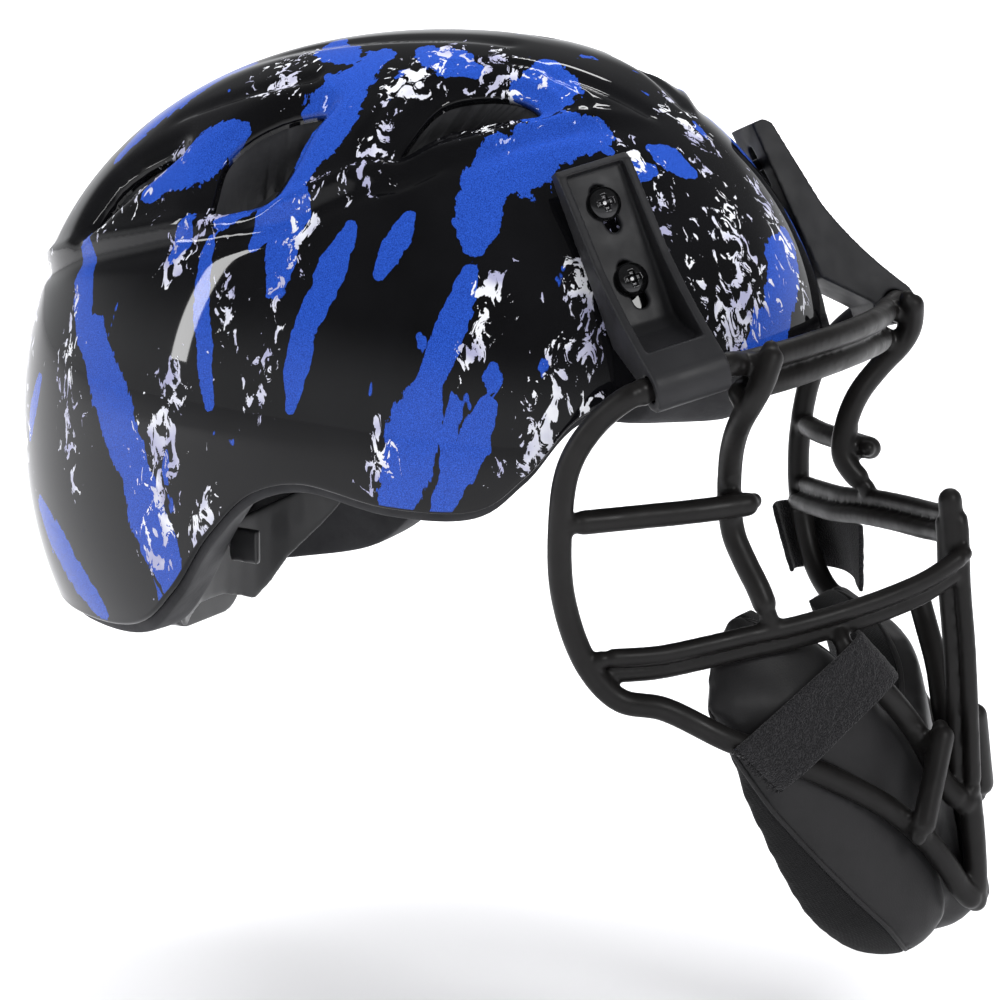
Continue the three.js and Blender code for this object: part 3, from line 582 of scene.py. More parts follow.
def shaped_shell(grids):
    """Gives two matching grids the shell's relief, and says which points the vents open."""
    outer = grids[0].reshape(-1, 3)
    radial = unit(outer - SHELL_CENTRE)
    out = shell_relief(outer)
    least = np.full(len(outer), 99.0)
    slide = np.zeros_like(outer)
    for outline, roll, stepped in VENTS:
        for side in (1, -1):
            turned = outer * [side, 1, 1]
            distance, move = vent_field(turned, outline)
            snap = np.abs(distance) < VENT_SNAP
            slide[snap] = move[snap] * [side, 1, 1]
            distance = np.where(snap, 0, distance)
            least = np.minimum(least, distance)
            gap = np.maximum(distance, 0)
            out -= roll * bump_at(gap, 4.5)
            if stepped:
                for edge in TERRACES:
                    shelf = smoothstep((edge - distance) / 1.6) * smoothstep((40 - distance) / 20)
                    out -= TERRACE_DROP * shelf
    shape = grids[0].shape
    moved = [g.reshape(-1, 3) + slide + radial * out[:, None] for g in grids]
    return [m.reshape(shape) for m in moved], (least <= 0).reshape(shape[:2])


def dome_solid(outer, inner, is_open, rim_drop, squareness=1.0):
    """A closed dome from two matching grids, with a rounded rim and walled vents."""
    rows, around, _ = outer.shape
    middle = (outer[0] + inner[0]) / 2
    half = (outer[0] - inner[0]) / 2
    rim = []
    for turn in np.radians(np.linspace(0, 180, 11)[1:-1]):
        across = math.copysign(abs(math.cos(turn)) ** squareness, math.cos(turn))
        rim.append(middle + half * across + np.array([0, 0, -rim_drop]) * math.sin(turn) ** squareness)
    skin = []
    vent_edges = set()
    for r in range(rows - 1):
        for i in range(around):
            j = (i + 1) % around
            corners = [(r, i), (r, j), (r + 1, j), (r + 1, i)]
            shut = [k for k, corner in enumerate(corners) if not is_open[corner]]
            if not shut:
                continue
            if len(shut) == 1:
                k = shut[0]
                corners = [corners[k - 1], corners[k], corners[(k + 1) % 4]]
            face = [a * around + b for a, b in corners]
            skin.append(face)
            if len(shut) < 3:
                flags = [is_open[corner] for corner in corners]
                for k, edge in enumerate(zip(face, face[1:] + face[:1])):
                    if flags[k] and flags[(k + 1) % len(face)]:
                        vent_edges.add(edge)
    size = rows * around
    walls = [[b, a, a + size, b + size] for a, b in sorted(vent_edges) if (b, a) not in vent_edges]
    order = [*range(around), *range(2 * size, 2 * size + len(rim) * around), *range(size, size + around)]
    edge_faces = [[order[k] for k in face] for face in grid_faces(len(rim) + 2, around, wrap=True)]
    caps = [list(range(size - around, size)), list(range(2 * size - around, 2 * size))[::-1]]
    faces = skin + [[k + size for k in face[::-1]] for face in skin] + walls + edge_faces + caps
    return np.vstack([outer.reshape(-1, 3), inner.reshape(-1, 3), *rim]), faces


# Blue streaks on the shell: bearing and height of each end in degrees and
# millimetres from ahead towards the wearer's left, and the half-width.
STREAKS = [
    (-74, 20, -68, 62, 10), (-70, 52, -61, 98, 5.5), (-66, 20, -58, 56, 6), (-57, 62, -57, 68, 4),
    (-60, 106, -57, 130, 8), (-58, 126, -42, 138, 15), (-46, 140, -30, 140, 12), (-44, 148, -28, 158, 12),
    (-30, 128, -22, 128, 5), (-60, 158, -90, 162, 8), (-112, 160, -104, 126, 12), (-106, 138, -101, 88, 7),
    (-95, 50, -93, 88, 4.5), (-92, 80, -87, 110, 5.5), (-79, 96, -74, 114, 4.5), (-112, 48, -120, 102, 4),
    (-149, 98, -140, 58, 6), (-139, 66, -127, 18, 10.5), (-128, 24, -121, -24, 9.5),
    (-141, -36, -153, -4, 8), (-139, 114, -131, 136, 10), (-119, 110, -112, 138, 9),
    (-109, 102, -106, 120, 6), (-127, 94, -126, 108, 4), (-163, 44, -166, 92, 7), (-156, 20, -152, 44, 4),
    (-18, 134, -12, 126, 6), (-6, 82, 8, 100, 10), (-14, 70, -4, 78, 9), (-175, -30, -178, 20, 8),
    (-178, 60, -172, 116, 9), (-158, 122, -164, 152, 9), (-120, 158, -160, 162, 7),
    (172, 84, 160, 140, 10), (160, -20, 150, 46, 9), (150, 60, 146, 108, 6), (138, -30, 130, 50, 10),
    (130, 76, 122, 118, 8), (112, 10, 108, 90, 9), (104, 108, 98, 146, 11), (95, 28, 88, 76, 6),
    (80, 70, 74, 130, 10), (62, 30, 66, 90, 8), (56, 110, 60, 142, 12), (48, 70, 40, 120, 8),
    (25, 70, 20, 104, 7), (20, 126, 34, 152, 9), (140, 120, 150, 154, 9), (120, 150, 90, 162, 8),
]
# Where white splatter gathers: the same, with how far it spreads.
SPLASHES = [
    (-54, 144, -44, 160, 19), (-88, 150, -74, 163, 15), (-31, 102, -24, 138, 15), (-17, 76, -7, 112, 26),
    (-102, 42, -100, 82, 8), (-124, -14, -121, 56, 15), (-160, 10, -164, 96, 20), (-127, 88, -121, 116, 13),
    (-52, 30, -45, 76, 16), (-43, 68, -38, 108, 13), (-92, 116, -86, 140, 11), (-62, 66, -56, 100, 8),
    (-142, 10, -146, 76, 11), (-101, 84, -97, 124, 8), (-78, 24, -77, 50, 7), (-114, -10, -112, 20, 8),
    (-145, 100, -140, 128, 12), (-110, 60, -112, 90, 7), (-178, 20, -174, 90, 18), (-130, 148, -150, 158, 14),
    (42, 66, 38, 118, 20), (90, 30, 84, 98, 12), (126, -12, 128, 60, 14), (160, 0, 165, 90, 16),
    (60, 118, 66, 152, 18), (4, 80, 8, 120, 12), (20, 70, 30, 90, 12), (110, 90, 116, 130, 14),
    (140, 60, 136, 112, 12), (-6, 128, 6, 146, 12), (100, 140, 130, 158, 12),
]


def along_shell(bearings, heights):
    """Points on the shell at bearings in degrees and heights."""
    b = np.radians(bearings)
    z = np.clip(np.asarray(heights, float), -40, 163)
    return shell_point(b, lift_at(shell_point, b, z, 0.0))


def zone_field(points, zones):
    """Largest over the zones of 1 inside, 0 at a zone's edge and less beyond it."""
    best = np.full(len(points), -3.0)
    for bearing_a, z_a, bearing_b, z_b, width in zones:
        t = np.linspace(0, 1, 24)
        path = along_shell(bearing_a + (bearing_b - bearing_a) * t, z_a + (z_b - z_a) * t)
        away, index = distance_to_path(points, path)
        taper = 0.35 + 0.65 * np.sin(math.pi * np.clip(t[index] * 0.9 + 0.05, 0, 1)) ** 0.7
        best = np.maximum(best, np.clip(1 - away / (width * taper), -3, 1))
    return best


# Points round the shell and up it, and how far its rim rounds below the edge.
AROUND, ROWS = 420, 130
SHELL_RIM = 1.3
LINER_RIM, LINER_SQUARENESS = 2.0, 0.45


def build_shell():
    outer = dome_grid(shell_point, 0.0, AROUND, ROWS, 0)
    inner = dome_grid(shell_point, SHELL_THICK, AROUND, ROWS, 0)
    (outer, inner), is_open = shaped_shell([outer, inner])
    points, faces = dome_solid(outer, inner, is_open, SHELL_RIM)
    shell = new_object("shell_painted", points, faces)
    inside = np.zeros(len(points))
    inside[ROWS * AROUND:] = 1
    set_attribute(shell, "inside", inside)
    set_attribute(shell, "streak", zone_field(points, STREAKS))
    set_attribute(shell, "splash", zone_field(points, SPLASHES))
    finished(shell, "helmet", "shell", paint_material(), "helmet_shell")


build_shell()


def cad_mesh(node):
    """A CAD node's points in millimetres, and its faces."""
    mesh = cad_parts[node].data
    points = np.array([v.co for v in mesh.vertices], float) / MM
    return points, [list(p.vertices) for p in mesh.polygons]


def softened(name, nodes, voxel, smoothing):
    """The CAD nodes as one moulded body with rounded edges."""
    obj = new_object(name, *merged([cad_mesh(node) for node in nodes]))
    baked(obj, ("WELD", {"merge_threshold": 1e-5}))
    return remeshed(obj, voxel, smoothing)


# The liner stops this far above the shell's edge, and is pocketed at the rear.
LINER_DROP = 3
LINER_AROUND, LINER_ROWS = 300, 70
POCKET_REAR = 133


def build_liner():
    outer = dome_grid(shell_point, SHELL_THICK + GAP, LINER_AROUND, LINER_ROWS, LINER_DROP)
    inner = dome_grid(cavity_point, 0.0, LINER_AROUND, LINER_ROWS, LINER_DROP)
    (outer, _), is_open = shaped_shell([outer, inner.copy()])
    deep = smoothstep((37 - np.abs(inner[..., 0])) / 5) * smoothstep((-18 - inner[..., 2]) / 5)
    deep = deep * (inner[..., 1] > 0)
    inner[..., 1] += deep * np.maximum(POCKET_REAR - inner[..., 1], 0)
    points, faces = dome_solid(outer, inner, is_open, LINER_RIM, LINER_SQUARENESS)
    liner = new_object("liner_foam", points, faces)
    finished(liner, "helmet", "foam", finish_material("moulded_foam"), "foam_liner")


build_liner()

# ---- Clips and screws ----

# The right clip's own directions, and the plane that its back lies in.
CLIP_DOWN = unit(np.array([-0.09, -0.429, -0.899]))
CLIP_ACROSS = np.array([-0.722, 0.65, -0.238])
CLIP_ACROSS = unit(CLIP_ACROSS - CLIP_DOWN * CLIP_ACROSS.dot(CLIP_DOWN))
CLIP_OUT = np.cross(CLIP_ACROSS, CLIP_DOWN)
right_side = shell_point(np.radians(np.arange(-89, 1))[:, None], np.radians(np.arange(80))[None, :])
CLIP_PLANE = (right_side @ CLIP_OUT).max() + 0.5
CLIP_MIDDLE, CLIP_TOP = -49.4, -72.2
CLIP_FLOOR = 3.0
LOOP_DOWN, LOOP_OUT = 79, 21
SCREWS_DOWN = (14.5, 41)


def clip_point(across, down, out):
    return tuple(CLIP_ACROSS * (CLIP_MIDDLE + across) + CLIP_DOWN * (CLIP_TOP + down)
                 + CLIP_OUT * (CLIP_PLANE + out))


def loop_at(along):
    return clip_point(along, LOOP_DOWN, LOOP_OUT)


clip_look = finish_material("moulded_clip")
for side in ("right", "left"):
    clip = softened(f"moulded_clip_{side}", [f"clip_{side}"], 0.55, 5)
    finished(clip, "mask", "clip", clip_look, f"clip_{side}")


def cross_depth(x, y):
    """Depth of a cross recess, 0 to 1, at a place on a screw's head."""
    arm = np.maximum(
        smoothstep((1.15 - np.abs(x)) / 0.5) * smoothstep((3.0 - np.abs(y)) / 0.8),
        smoothstep((1.15 - np.abs(y)) / 0.5) * smoothstep((3.0 - np.abs(x)) / 0.8),
    )
    return arm * (0.55 + 0.45 * smoothstep((1.8 - np.hypot(x, y)) / 1.2))


# The screw's recess is turned by this much, in radians.
RECESS_TURN = 0.35
SCREW_SIDES = 96
HEAD_R, HEAD_RIM_R, HEAD_RIM, HEAD_DOME = 5.75, 5.6, 0.5, 2.7
RECESS_DEPTH = 1.9
SHANK_R, SHANK_LENGTH = 2.2, 14.0


def screw_mesh(mirrored, down):
    """A low domed head with a cross recess, and its shank."""
    crown = np.concatenate([np.linspace(0.02, 4.6, 34), HEAD_R * np.sin(np.radians(np.linspace(56, 90, 8)))])
    under = np.array([(HEAD_R, 0.25), (HEAD_RIM_R, 0), (SHANK_R, 0), (SHANK_R, -SHANK_LENGTH),
                      (0.02, -SHANK_LENGTH - 0.2)])
    r, a = np.meshgrid(np.concatenate([crown, under[:, 0]]), full_turn(SCREW_SIDES), indexing="ij")
    x, y = r * np.cos(a + RECESS_TURN), r * np.sin(a + RECESS_TURN)
    dome = np.sqrt(np.clip(1 - (r / (HEAD_R + 0.01)) ** 2, 0, 1))
    height = HEAD_RIM + HEAD_DOME * dome - RECESS_DEPTH * cross_depth(x, y)
    height[len(crown):] = under[:, 1:]
    grid = np.stack([x, y, height], -1)
    place = np.array(clip_point(0, down, CLIP_FLOOR + GAP))
    points = place + grid[..., :1] * CLIP_ACROSS + grid[..., 1:2] * CLIP_DOWN + grid[..., 2:] * CLIP_OUT
    points = points.reshape(-1, 3)
    faces = grid_faces(len(grid), SCREW_SIDES, wrap=True)
    faces += [list(range(SCREW_SIDES))[::-1], list(range(len(points) - SCREW_SIDES, len(points)))]
    if mirrored:
        points = points * [-1, 1, 1]
        faces = [face[::-1] for face in faces]
    return points, faces


screw_look = finish_material("black_screw")
nut_look = finish_material("zinc_nut")
for side in ("right", "left"):
    for place, down in zip(("upper", "lower"), SCREWS_DOWN):
        screw = new_object(f"truss_screw_{place}_{side}", *screw_mesh(side == "left", down))
        finished(screw, "helmet", "screw", screw_look, f"clip_screw_{place}_{side}")
        nut = softened(f"pronged_nut_{place}_{side}", [f"tee_nut_{place}_{side}"], 0.4, 3)
        finished(nut, "helmet", "nut", nut_look, f"tee_nut_{place}_{side}")

# ---- Cage: dip-coated wires welded into one ----

ROD_R = 4.0
PAIR_R = 3.1
POST_R = 2.8
POST_HALF_STEP = 2.95
BROW_STEP = 8.5
BROW_HALF = [loop_at(15), loop_at(9), loop_at(0), loop_at(-9), loop_at(-15),
             (-60, -152.5, 70.8), (-44, -158, 71.8), (-22, -162.5, 72.8)]
LOWER_HALF = [(-60, -150.5, 61.6), (-44, -157, 62.6), (-22, -161.8, 64)]
PERIMETER = [
    loop_at(15.4), loop_at(19), (-97.5, -118, 54), (-98, -108.5, 39), (-96.5, -104.5, 18), (-95, -105, -6),
    (-91, -112, -29), (-86, -121.5, -40.5), (-79, -134, -43.5), (-68, -153, -54.5), (-56, -165, -61.5),
    (-43, -178, -70), (-29, -193.5, -82), (-18, -203.5, -95), (-11, -209.3, -106.5), (-7, -212, -113.5),
    (-3.6, -214.4, -118), (-1.7, -215, -119.3), (-0.3, -215, -119.4),
]
EYE_TOP = [
    (-58.4, -163.1, 75.8), (-60.4, -162.4, 73), (-63.3, -160.7, 65.3), (-63.9, -157.5, 59.1),
    (-59, -151, 50.5), (-52.8, -145.6, 41), (-49, -142.9, 31), (-47.4, -142.3, 20),
]
EYE_RIGHT = EYE_TOP + [(-47.4, -144, 10), (-48.4, -149, 1), (-49.8, -154.5, -7), (-50.4, -158, -14)]
EYE_LEFT = mirror(EYE_TOP + [(-47.7, -145.5, 14.5), (-48.6, -150.5, 9.5)])
CHEEK = [(-94.6, -107, 19.1), (-80, -120.5, 19.6), (-63.5, -139.3, 20.9), (-50, -152.9, 22.3)]
LOWER_WIRE = [
    (-33.8, -178.6, -26.5), (-31, -182, -33.5), (-22, -190, -45.5), (-13, -196.5, -59), (-9.5, -200.5, -68),
    (-8, -204.8, -77), (-5.5, -208.8, -82.5), (-3.5, -211, -85.3),
]
LOWER_WIRE_LEFT = mirror([(-36, -176, -22.5)] + LOWER_WIRE[1:])
STRUT = [(-13.5, -207.4, -55), (-28.5, -205.9, -91)]
MOUTH_RIGHT = [
    (-88, -116, -29.2), (-76, -129.9, -29), (-65, -141.2, -27), (-54, -152.6, -24.5), (-43, -164.2, -22.2),
    (-32, -175.7, -18.9), (-21, -187.4, -14.6), (-12, -198, -9.3), (-6.5, -204, -4.6), (-2, -207.5, -1.5),
]
MOUTH_LEFT = [
    (91, -107, -6), (74, -122, -3.5), (60, -136, -1.3), (48, -151.4, 1.8), (34, -169.2, 4.2),
    (18, -187.4, 6.5), (9, -196.5, 8.2), (1, -203, 9),
]
PAIR_RISE, PAIR_LEAN = 3.1, 1.3
POST_TOP = [(0, -201.4, 22), (0, -202.2, 14), (0, -203.4, 4), (0, -204, -6)]
POST = [(0, -202.2, 14), (0, -203.1, 6), (0, -204.1, -10), (0, -206.4, -31), (0, -208.2, -54), (0, -210, -80)]
LOWER_POST = [(0, -211.5, -82), (0, -213, -91.8), (0, -214, -101), (0, -214.8, -112), (0, -215, -119)]


def cage_paths():
    """Every wire as (group, path, radius). Wires of one group lie side by side."""
    rods = [("brow", BROW_HALF + [(0, -164, 73)] + mirror(BROW_HALF)[::-1]),
            ("brow", LOWER_HALF + [(0, -163.4, 73 - BROW_STEP)] + mirror(LOWER_HALF)[::-1]),
            ("eye_right", EYE_RIGHT), ("eye_left", EYE_LEFT), ("lower_wire_right", LOWER_WIRE),
            ("lower_wire_left", LOWER_WIRE_LEFT), ("lower_post", LOWER_POST), ("post", POST_TOP)]
    for group, points in (("perimeter", PERIMETER), ("cheek", CHEEK), ("strut", STRUT)):
        rods += [(group + "_right", points), (group + "_left", mirror(points))]
    found = [(group, points, ROD_R) for group, points in rods]
    for group, sign, points in (("mouth_right", -1, MOUTH_RIGHT), ("mouth_left", 1, MOUTH_LEFT)):
        for up in (1, -1):
            found.append((group, [(x + up * sign * PAIR_LEAN, y - up * PAIR_LEAN, z + up * PAIR_RISE)
                                  for x, y, z in points], PAIR_R))
    for forward in (POST_HALF_STEP, -POST_HALF_STEP):
        found.append(("post", [(x, y - forward, z) for x, y, z in POST], POST_R))
    return [(group, spline(points, 1.5), radius) for group, points, radius in found]


# Wires whose surfaces come nearer than this are welded, and the dip's thickness.
WELD_REACH = 2.5
DIP = 0.12


def weld_blobs(paths):
    """Short tubes across and along two wires where they meet, which smooth into welds."""
    blobs = []
    for i, (group_a, path_a, radius_a) in enumerate(paths):
        for group_b, path_b, radius_b in paths[i + 1:]:
            if group_a == group_b:
                continue
            away, index = distance_to_path(path_a, path_b)
            k = int(away.argmin())
            if away[k] > radius_a + radius_b + WELD_REACH:
                continue
            a, b = path_a[k], path_b[index[k]]
            middle = (a + b) / 2
            span = (b - a) if away[k] > 1 else np.array([0, 0, 1.0])
            reach = unit(span) * max(away[k] * 0.32, 0.6)
            blobs.append(sweep([middle - reach, middle, middle + reach], min(radius_a, radius_b) * 1.02, 14))
            for path, n in ((path_a, k), (path_b, int(index[k]))):
                flare = path[max(n - 4, 0):n + 5]
                toward = (middle - path[n]) * 0.45
                if len(flare) > 3:
                    blobs.append(sweep(flare + toward, min(radius_a, radius_b) * 0.72, 12))
    return blobs


WIRES = cage_paths()
cage = new_object("cage_wire", *merged([sweep(path, radius + DIP) for _, path, radius in WIRES]
                                       + weld_blobs(WIRES)))
remeshed(cage, 0.75, 7)
cage_nodes = ["brow_bar_upper", "brow_bar_lower", "front_post_outer", "front_post_inner", "lower_post"]
for side in ("right", "left"):
    cage_nodes += [f"{part}_{side}" for part in ("perimeter_wire", "eye_bar", "cheek_bar", "lower_wire",
                                                 "lower_strut", "mouth_bar_upper", "mouth_bar_lower")]
finished(cage, "mask", "wire", finish_material("vinyl_dip"), *cage_nodes)

# ---- Chin pad ----

# Height, half-width, back edge, front and plan shape of the pad's outer face.
PAD_KEYS = np.array([
    (-144, 10, -184, -193, 0.9), (-137, 25, -175, -203, 0.85), (-125, 36, -167, -208.5, 0.85),
    (-106, 45, -159, -204.5, 1.05), (-82, 52.5, -150, -197, 1.2), (-60, 60, -145, -192, 1.3),
    (-44, 64.5, -139, -189, 1.3), (-34, 54, -136.5, -184.5, 1.3), (-24, 48.5, -138.5, -180.5, 1.3),
    (-12, 49, -144, -178, 1.3),
])
# The pad's top edge, from the middle to the wings' tips, and how much lower
# the left wing is.
PAD_TOP = np.array([
    (0, -60), (0.2, -52), (0.3, -41), (0.4, -31), (0.5, -27), (0.7, -24), (0.85, -20), (1, -14),
])
LEFT_WING_LOWER = 9
PAD_BOTTOM = -144
PAD_THICK = 26
PAD_GAP = 0.3     # between the pad and the wires


def pad_point(turn, fall, depth):
    top = np.interp(np.abs(turn), PAD_TOP[:, 0], PAD_TOP[:, 1])
    top = top - LEFT_WING_LOWER * smoothstep((turn - 0.1) / 0.5)
    z = top + (PAD_BOTTOM - top) * fall
    half, back, front, bend = (np.interp(z, PAD_KEYS[:, 0], PAD_KEYS[:, k]) for k in range(1, 5))
    inward = depth * np.minimum(PAD_THICK, 0.75 * half)
    angle = turn * math.pi / 2
    x = (half - inward) * np.sign(angle) * np.abs(np.sin(angle)) ** bend
    y = back - np.maximum(back - front - inward, 1) * np.abs(np.cos(angle)) ** bend
    return np.stack([x, y, z], -1)


def slab(front, back):
    """A closed body between two matching grids of points."""
    rows, columns, _ = front.shape
    points = np.vstack([front.reshape(-1, 3), back.reshape(-1, 3)])
    start = rows * columns
    faces = grid_faces(rows, columns) + grid_faces(rows, columns, flip=True, start=start)
    rim = ([(0, i) for i in range(columns)] + [(r, columns - 1) for r in range(1, rows)]
           + [(rows - 1, i) for i in range(columns - 2, -1, -1)] + [(r, 0) for r in range(rows - 2, 0, -1)])
    for (r, i), (s, j) in zip(rim, rim[1:] + rim[:1]):
        faces.append([s * columns + j, r * columns + i, start + r * columns + i, start + s * columns + j])
    return points, faces


def swollen(obj, pressure, cap, frames=20):
    """Blows a closed cushion up as cloth, moving no point further than cap millimetres."""
    before = coordinates(obj)
    cloth = obj.modifiers.new("CLOTH", "CLOTH")
    settings = cloth.settings
    settings.use_pressure = True
    settings.uniform_pressure_force = pressure
    settings.tension_stiffness = 30
    settings.bending_stiffness = 2
    settings.effector_weights.gravity = 0
    cloth.point_cache.frame_end = frames
    for number in range(1, frames + 1):
        scene.frame_set(number)
    move = coordinates(obj.evaluated_get(bpy.context.evaluated_depsgraph_get())) - before
    obj.modifiers.clear()
    scene.frame_set(1)
    length = np.linalg.norm(move, axis=1)[:, None]
    set_coordinates(obj, before + move * np.minimum(1, cap / np.maximum(length, 1e-6)))
    return obj


def pressed_clear(points, paths, clearance):
    """Moves points that lie too near the wires straight away from them."""
    for _, path, radius in paths:
        away, index = distance_to_path(points, path)
        near = away < radius + clearance
        push = points[near] - path[index[near]]
        push /= np.maximum(np.linalg.norm(push, axis=1), 1e-6)[:, None]
        points[near] = path[index[near]] + push * (radius + clearance)
    return points


def build_pad():
    turn, fall = np.meshgrid(np.linspace(-1, 1, 61), np.linspace(0, 1, 33))
    front = pad_point(turn, fall, -0.06)
    back = pad_point(turn, fall, 1.0)
    pad = new_object("chin_pad_leather", *slab(front, back))
    remeshed(pad, 3.2, 6)
    swollen(pad, 4, 4)
    baked(pad, smoothing_by(8))
    points = coordinates(pad)
    # The cleft between the two lobes at the bottom, and the far lobe's bulge. These
    # are views of the points, so that changing them moves the points.
    x, y, z = points.T
    z += 9 * bump_at(x, 11) * smoothstep((-112 - z) / 26)
    y += 6 * bump_at(x, 7) * smoothstep((-88 - z) / 20) * (y < -170)
    y -= 5 * bump_at(x - 22, 14) * bump_at(z + 122, 22) * (y < -180)
    set_coordinates(pad, points)
    baked(pad, ONE_SUBDIVISION)
    points = pressed_clear(coordinates(pad), WIRES, PAD_GAP)
    set_coordinates(pad, points)
    baked(pad, smoothing_by(2))
    return pad, front.reshape(-1, 3), back.reshape(-1, 3), turn.ravel(), fall.ravel()


def ordered_loops(edges):
    """Closed loops of point numbers from a list of edges."""
    ahead = {}
    for a, b in edges:
        ahead.setdefault(a, []).append(b)
        ahead.setdefault(b, []).append(a)
    loops = []
    unused = set(ahead)
    while unused:
        loop = [min(unused)]
        unused.discard(loop[0])
        while True:
            step = [k for k in ahead[loop[-1]] if k in unused]
            if not step:
                break
            loop.append(step[0])
            unused.discard(step[0])
        loops.append(loop)
    return loops


# The seam runs this share of the way from the pad's face to its back.
SEAM_SHARE = 0.3
SEAM_SMOOTHING = 60
PIPING_R = 1.0
# How far round the pad the leather reaches, from its top to its bottom.
LEATHER_REACH = np.array([(0, 0.99), (0.3, 0.92), (0.5, 0.8), (0.75, 0.64), (1, 0.4)])


def split_pad(pad, front, back, turn, fall):
    """Cuts the pad into its leather face and cloth lining, with a smooth seam between."""
    points = coordinates(pad)
    faces = [list(p.vertices) for p in pad.data.polygons]
    to_front, nearest = distance_to_path(points, front)
    to_back, _ = distance_to_path(points, back)
    share = to_front / np.maximum(to_front + to_back, 1e-6)     # 0 on the front and 1 on the back
    reach = np.interp(fall[nearest], LEATHER_REACH[:, 0], LEATHER_REACH[:, 1])
    beyond = np.maximum(share - SEAM_SHARE, (np.abs(turn[nearest]) - reach) * 0.8)
    lining = np.array([beyond[face].mean() > 0 for face in faces])
    owners = {}
    for number, face in enumerate(faces):
        for a, b in zip(face, face[1:] + face[:1]):
            owners.setdefault((min(a, b), max(a, b)), []).append(number)
    seam_edges = [edge for edge, own in owners.items() if len(own) == 2 and lining[own[0]] != lining[own[1]]]
    seams = [loop for loop in ordered_loops(seam_edges) if len(loop) > 40]
    for loop in seams:
        line = points[loop]
        for _ in range(SEAM_SMOOTHING):
            line = (np.roll(line, 1, axis=0) + 2 * line + np.roll(line, -1, axis=0)) / 4
        points[loop] = line
    pieces = []
    for name, wanted in (("chin_pad_face", False), ("chin_pad_lining", True)):
        kept = [face for face, is_lining in zip(faces, lining) if is_lining == wanted]
        used = sorted({k for face in kept for k in face})
        renumber = {k: i for i, k in enumerate(used)}
        pieces.append(new_object(name, points[used], [[renumber[k] for k in face] for face in kept]))
    bpy.data.objects.remove(pad)
    return pieces, [points[loop] for loop in seams]


(pad_face, pad_lining), seams = split_pad(*build_pad())
leather_look = finish_material("synthetic_leather")
lining_look = woven("brushed_lining", (0.0025, 0.0025, 0.003), (0.0075, 0.0075, 0.008), 420, 0.05)
finished(pad_face, "mask", "leather", leather_look, "chin_pad_outer")
finished(pad_lining, "mask", "lining", lining_look, "chin_pad_liner")
piping_tubes = [sweep(np.vstack([line, line[:2]]), PIPING_R, 10) for line in seams]
piping = new_object("chin_pad_piping", *merged(piping_tubes))
finished(piping, "mask", "leather", leather_look)

# ---- Pad straps ----

STRAP_THICK = 2.0


def strap_rows_right():
    over_perimeter = np.array([(-67, -154, -55), (-49.5, -171.5, -65.5)], float)
    over_lower = np.array([(-34.4, -178, -26), (-24, -188.2, -42.5)], float)
    wide = over_perimeter[1] - over_perimeter[0]
    rows = []
    for t in (0, 0.5, 1):
        a, b = (ends[0] * (1 - t) + ends[1] * t for ends in (over_perimeter, over_lower))
        along = unit(b - a)
        out = unit(np.cross(unit(wide), along))
        out = -out if out[1] > 0 else out
        length = np.linalg.norm(b - a)
        start = -2 - 9 * t
        path = [(start, 4.4 - 4.6 * t), (start + 2.2, 4.8 - 2.8 * t), (2.5, 5), (length / 2, 5.4),
                (length, 5), (length + 4.5, 3.6), (length + 6, 0)]
        rows.append([a + along * forward + out * up for forward, up in path])
    return rows


# The left strap's path at a height of -13, and how much of its rows' shift back each point takes.
LEFT_ROW = [(89, -99, 1), (96, -97.5, 1), (101.5, -104, 1), (99.5, -113, 1), (90, -122, 1),
            (79, -131.5, 0.6), (71, -139.5, 0.2)]


def strap_rows_left():
    return [[(x + (z + 13) * 0.16, y + (z + 13) * 0.4 * share, z) for x, y, share in LEFT_ROW]
            for z in (-35, -23, -11)]


def build_strap(name, rows, node):
    """A fuzzy strap through three rows of points, thick on its outer side."""
    lines = [spline(row, 0.9) for row in rows]
    count = min(len(line) for line in lines)
    lines = [line[np.linspace(0, len(line) - 1, count).round().astype(int)] for line in lines]
    first, middle, last = (np.array(line)[:, None, :] for line in lines)
    t = np.linspace(0, 1, 26)[None, :, None]
    columns = first + (last - first) * t + (middle - (first + last) / 2) * 4 * t * (1 - t)
    along = np.gradient(columns, axis=0)
    across = np.gradient(columns, axis=1)
    side = unit(np.cross(across, along))
    fuzz = rng.normal(0, 0.16, columns.shape[:2])[..., None]
    edge = np.linspace(-1, 1, columns.shape[1])[None, :, None]
    swell = 0.35 * (1 - edge ** 6)
    top = columns + side * (STRAP_THICK - 0.35 + swell + fuzz)
    bottom = columns + side * 0.1
    strap = new_object(name, *slab(bottom, top))
    baked(strap, ONE_SUBDIVISION)
    finished(strap, "mask", "strap", strap_look, node)
    return columns, side


strap_look = strap_material()
right_columns, right_out = build_strap("loop_strap_right", strap_rows_right(), "pad_strap_right")
build_strap("loop_strap_left", strap_rows_left(), "pad_strap_left")


def frayed_edge(columns, side):
    """Loose threads along a cut end of the strap."""
    threads = []
    start = columns[0]
    inward = unit(columns[2] - columns[0])
    for _ in range(110):
        k = rng.integers(0, len(start))
        root = start[k] + side[0, k] * rng.uniform(0.3, STRAP_THICK) + inward[k] * 1.2
        tip = root - inward[k] * rng.uniform(1.8, 3.6) + rng.normal(0, 0.5, 3)
        bend = (root + tip) / 2 + rng.normal(0, 0.35, 3)
        threads.append(sweep(spline([root, bend, tip], 0.7), 0.17, 5))
    return merged(threads)


fray = new_object("strap_fray_right", *frayed_edge(right_columns, right_out))
finished(fray, "mask", "strap", strap_look)

# ---- Fitting pads and rear retention ----

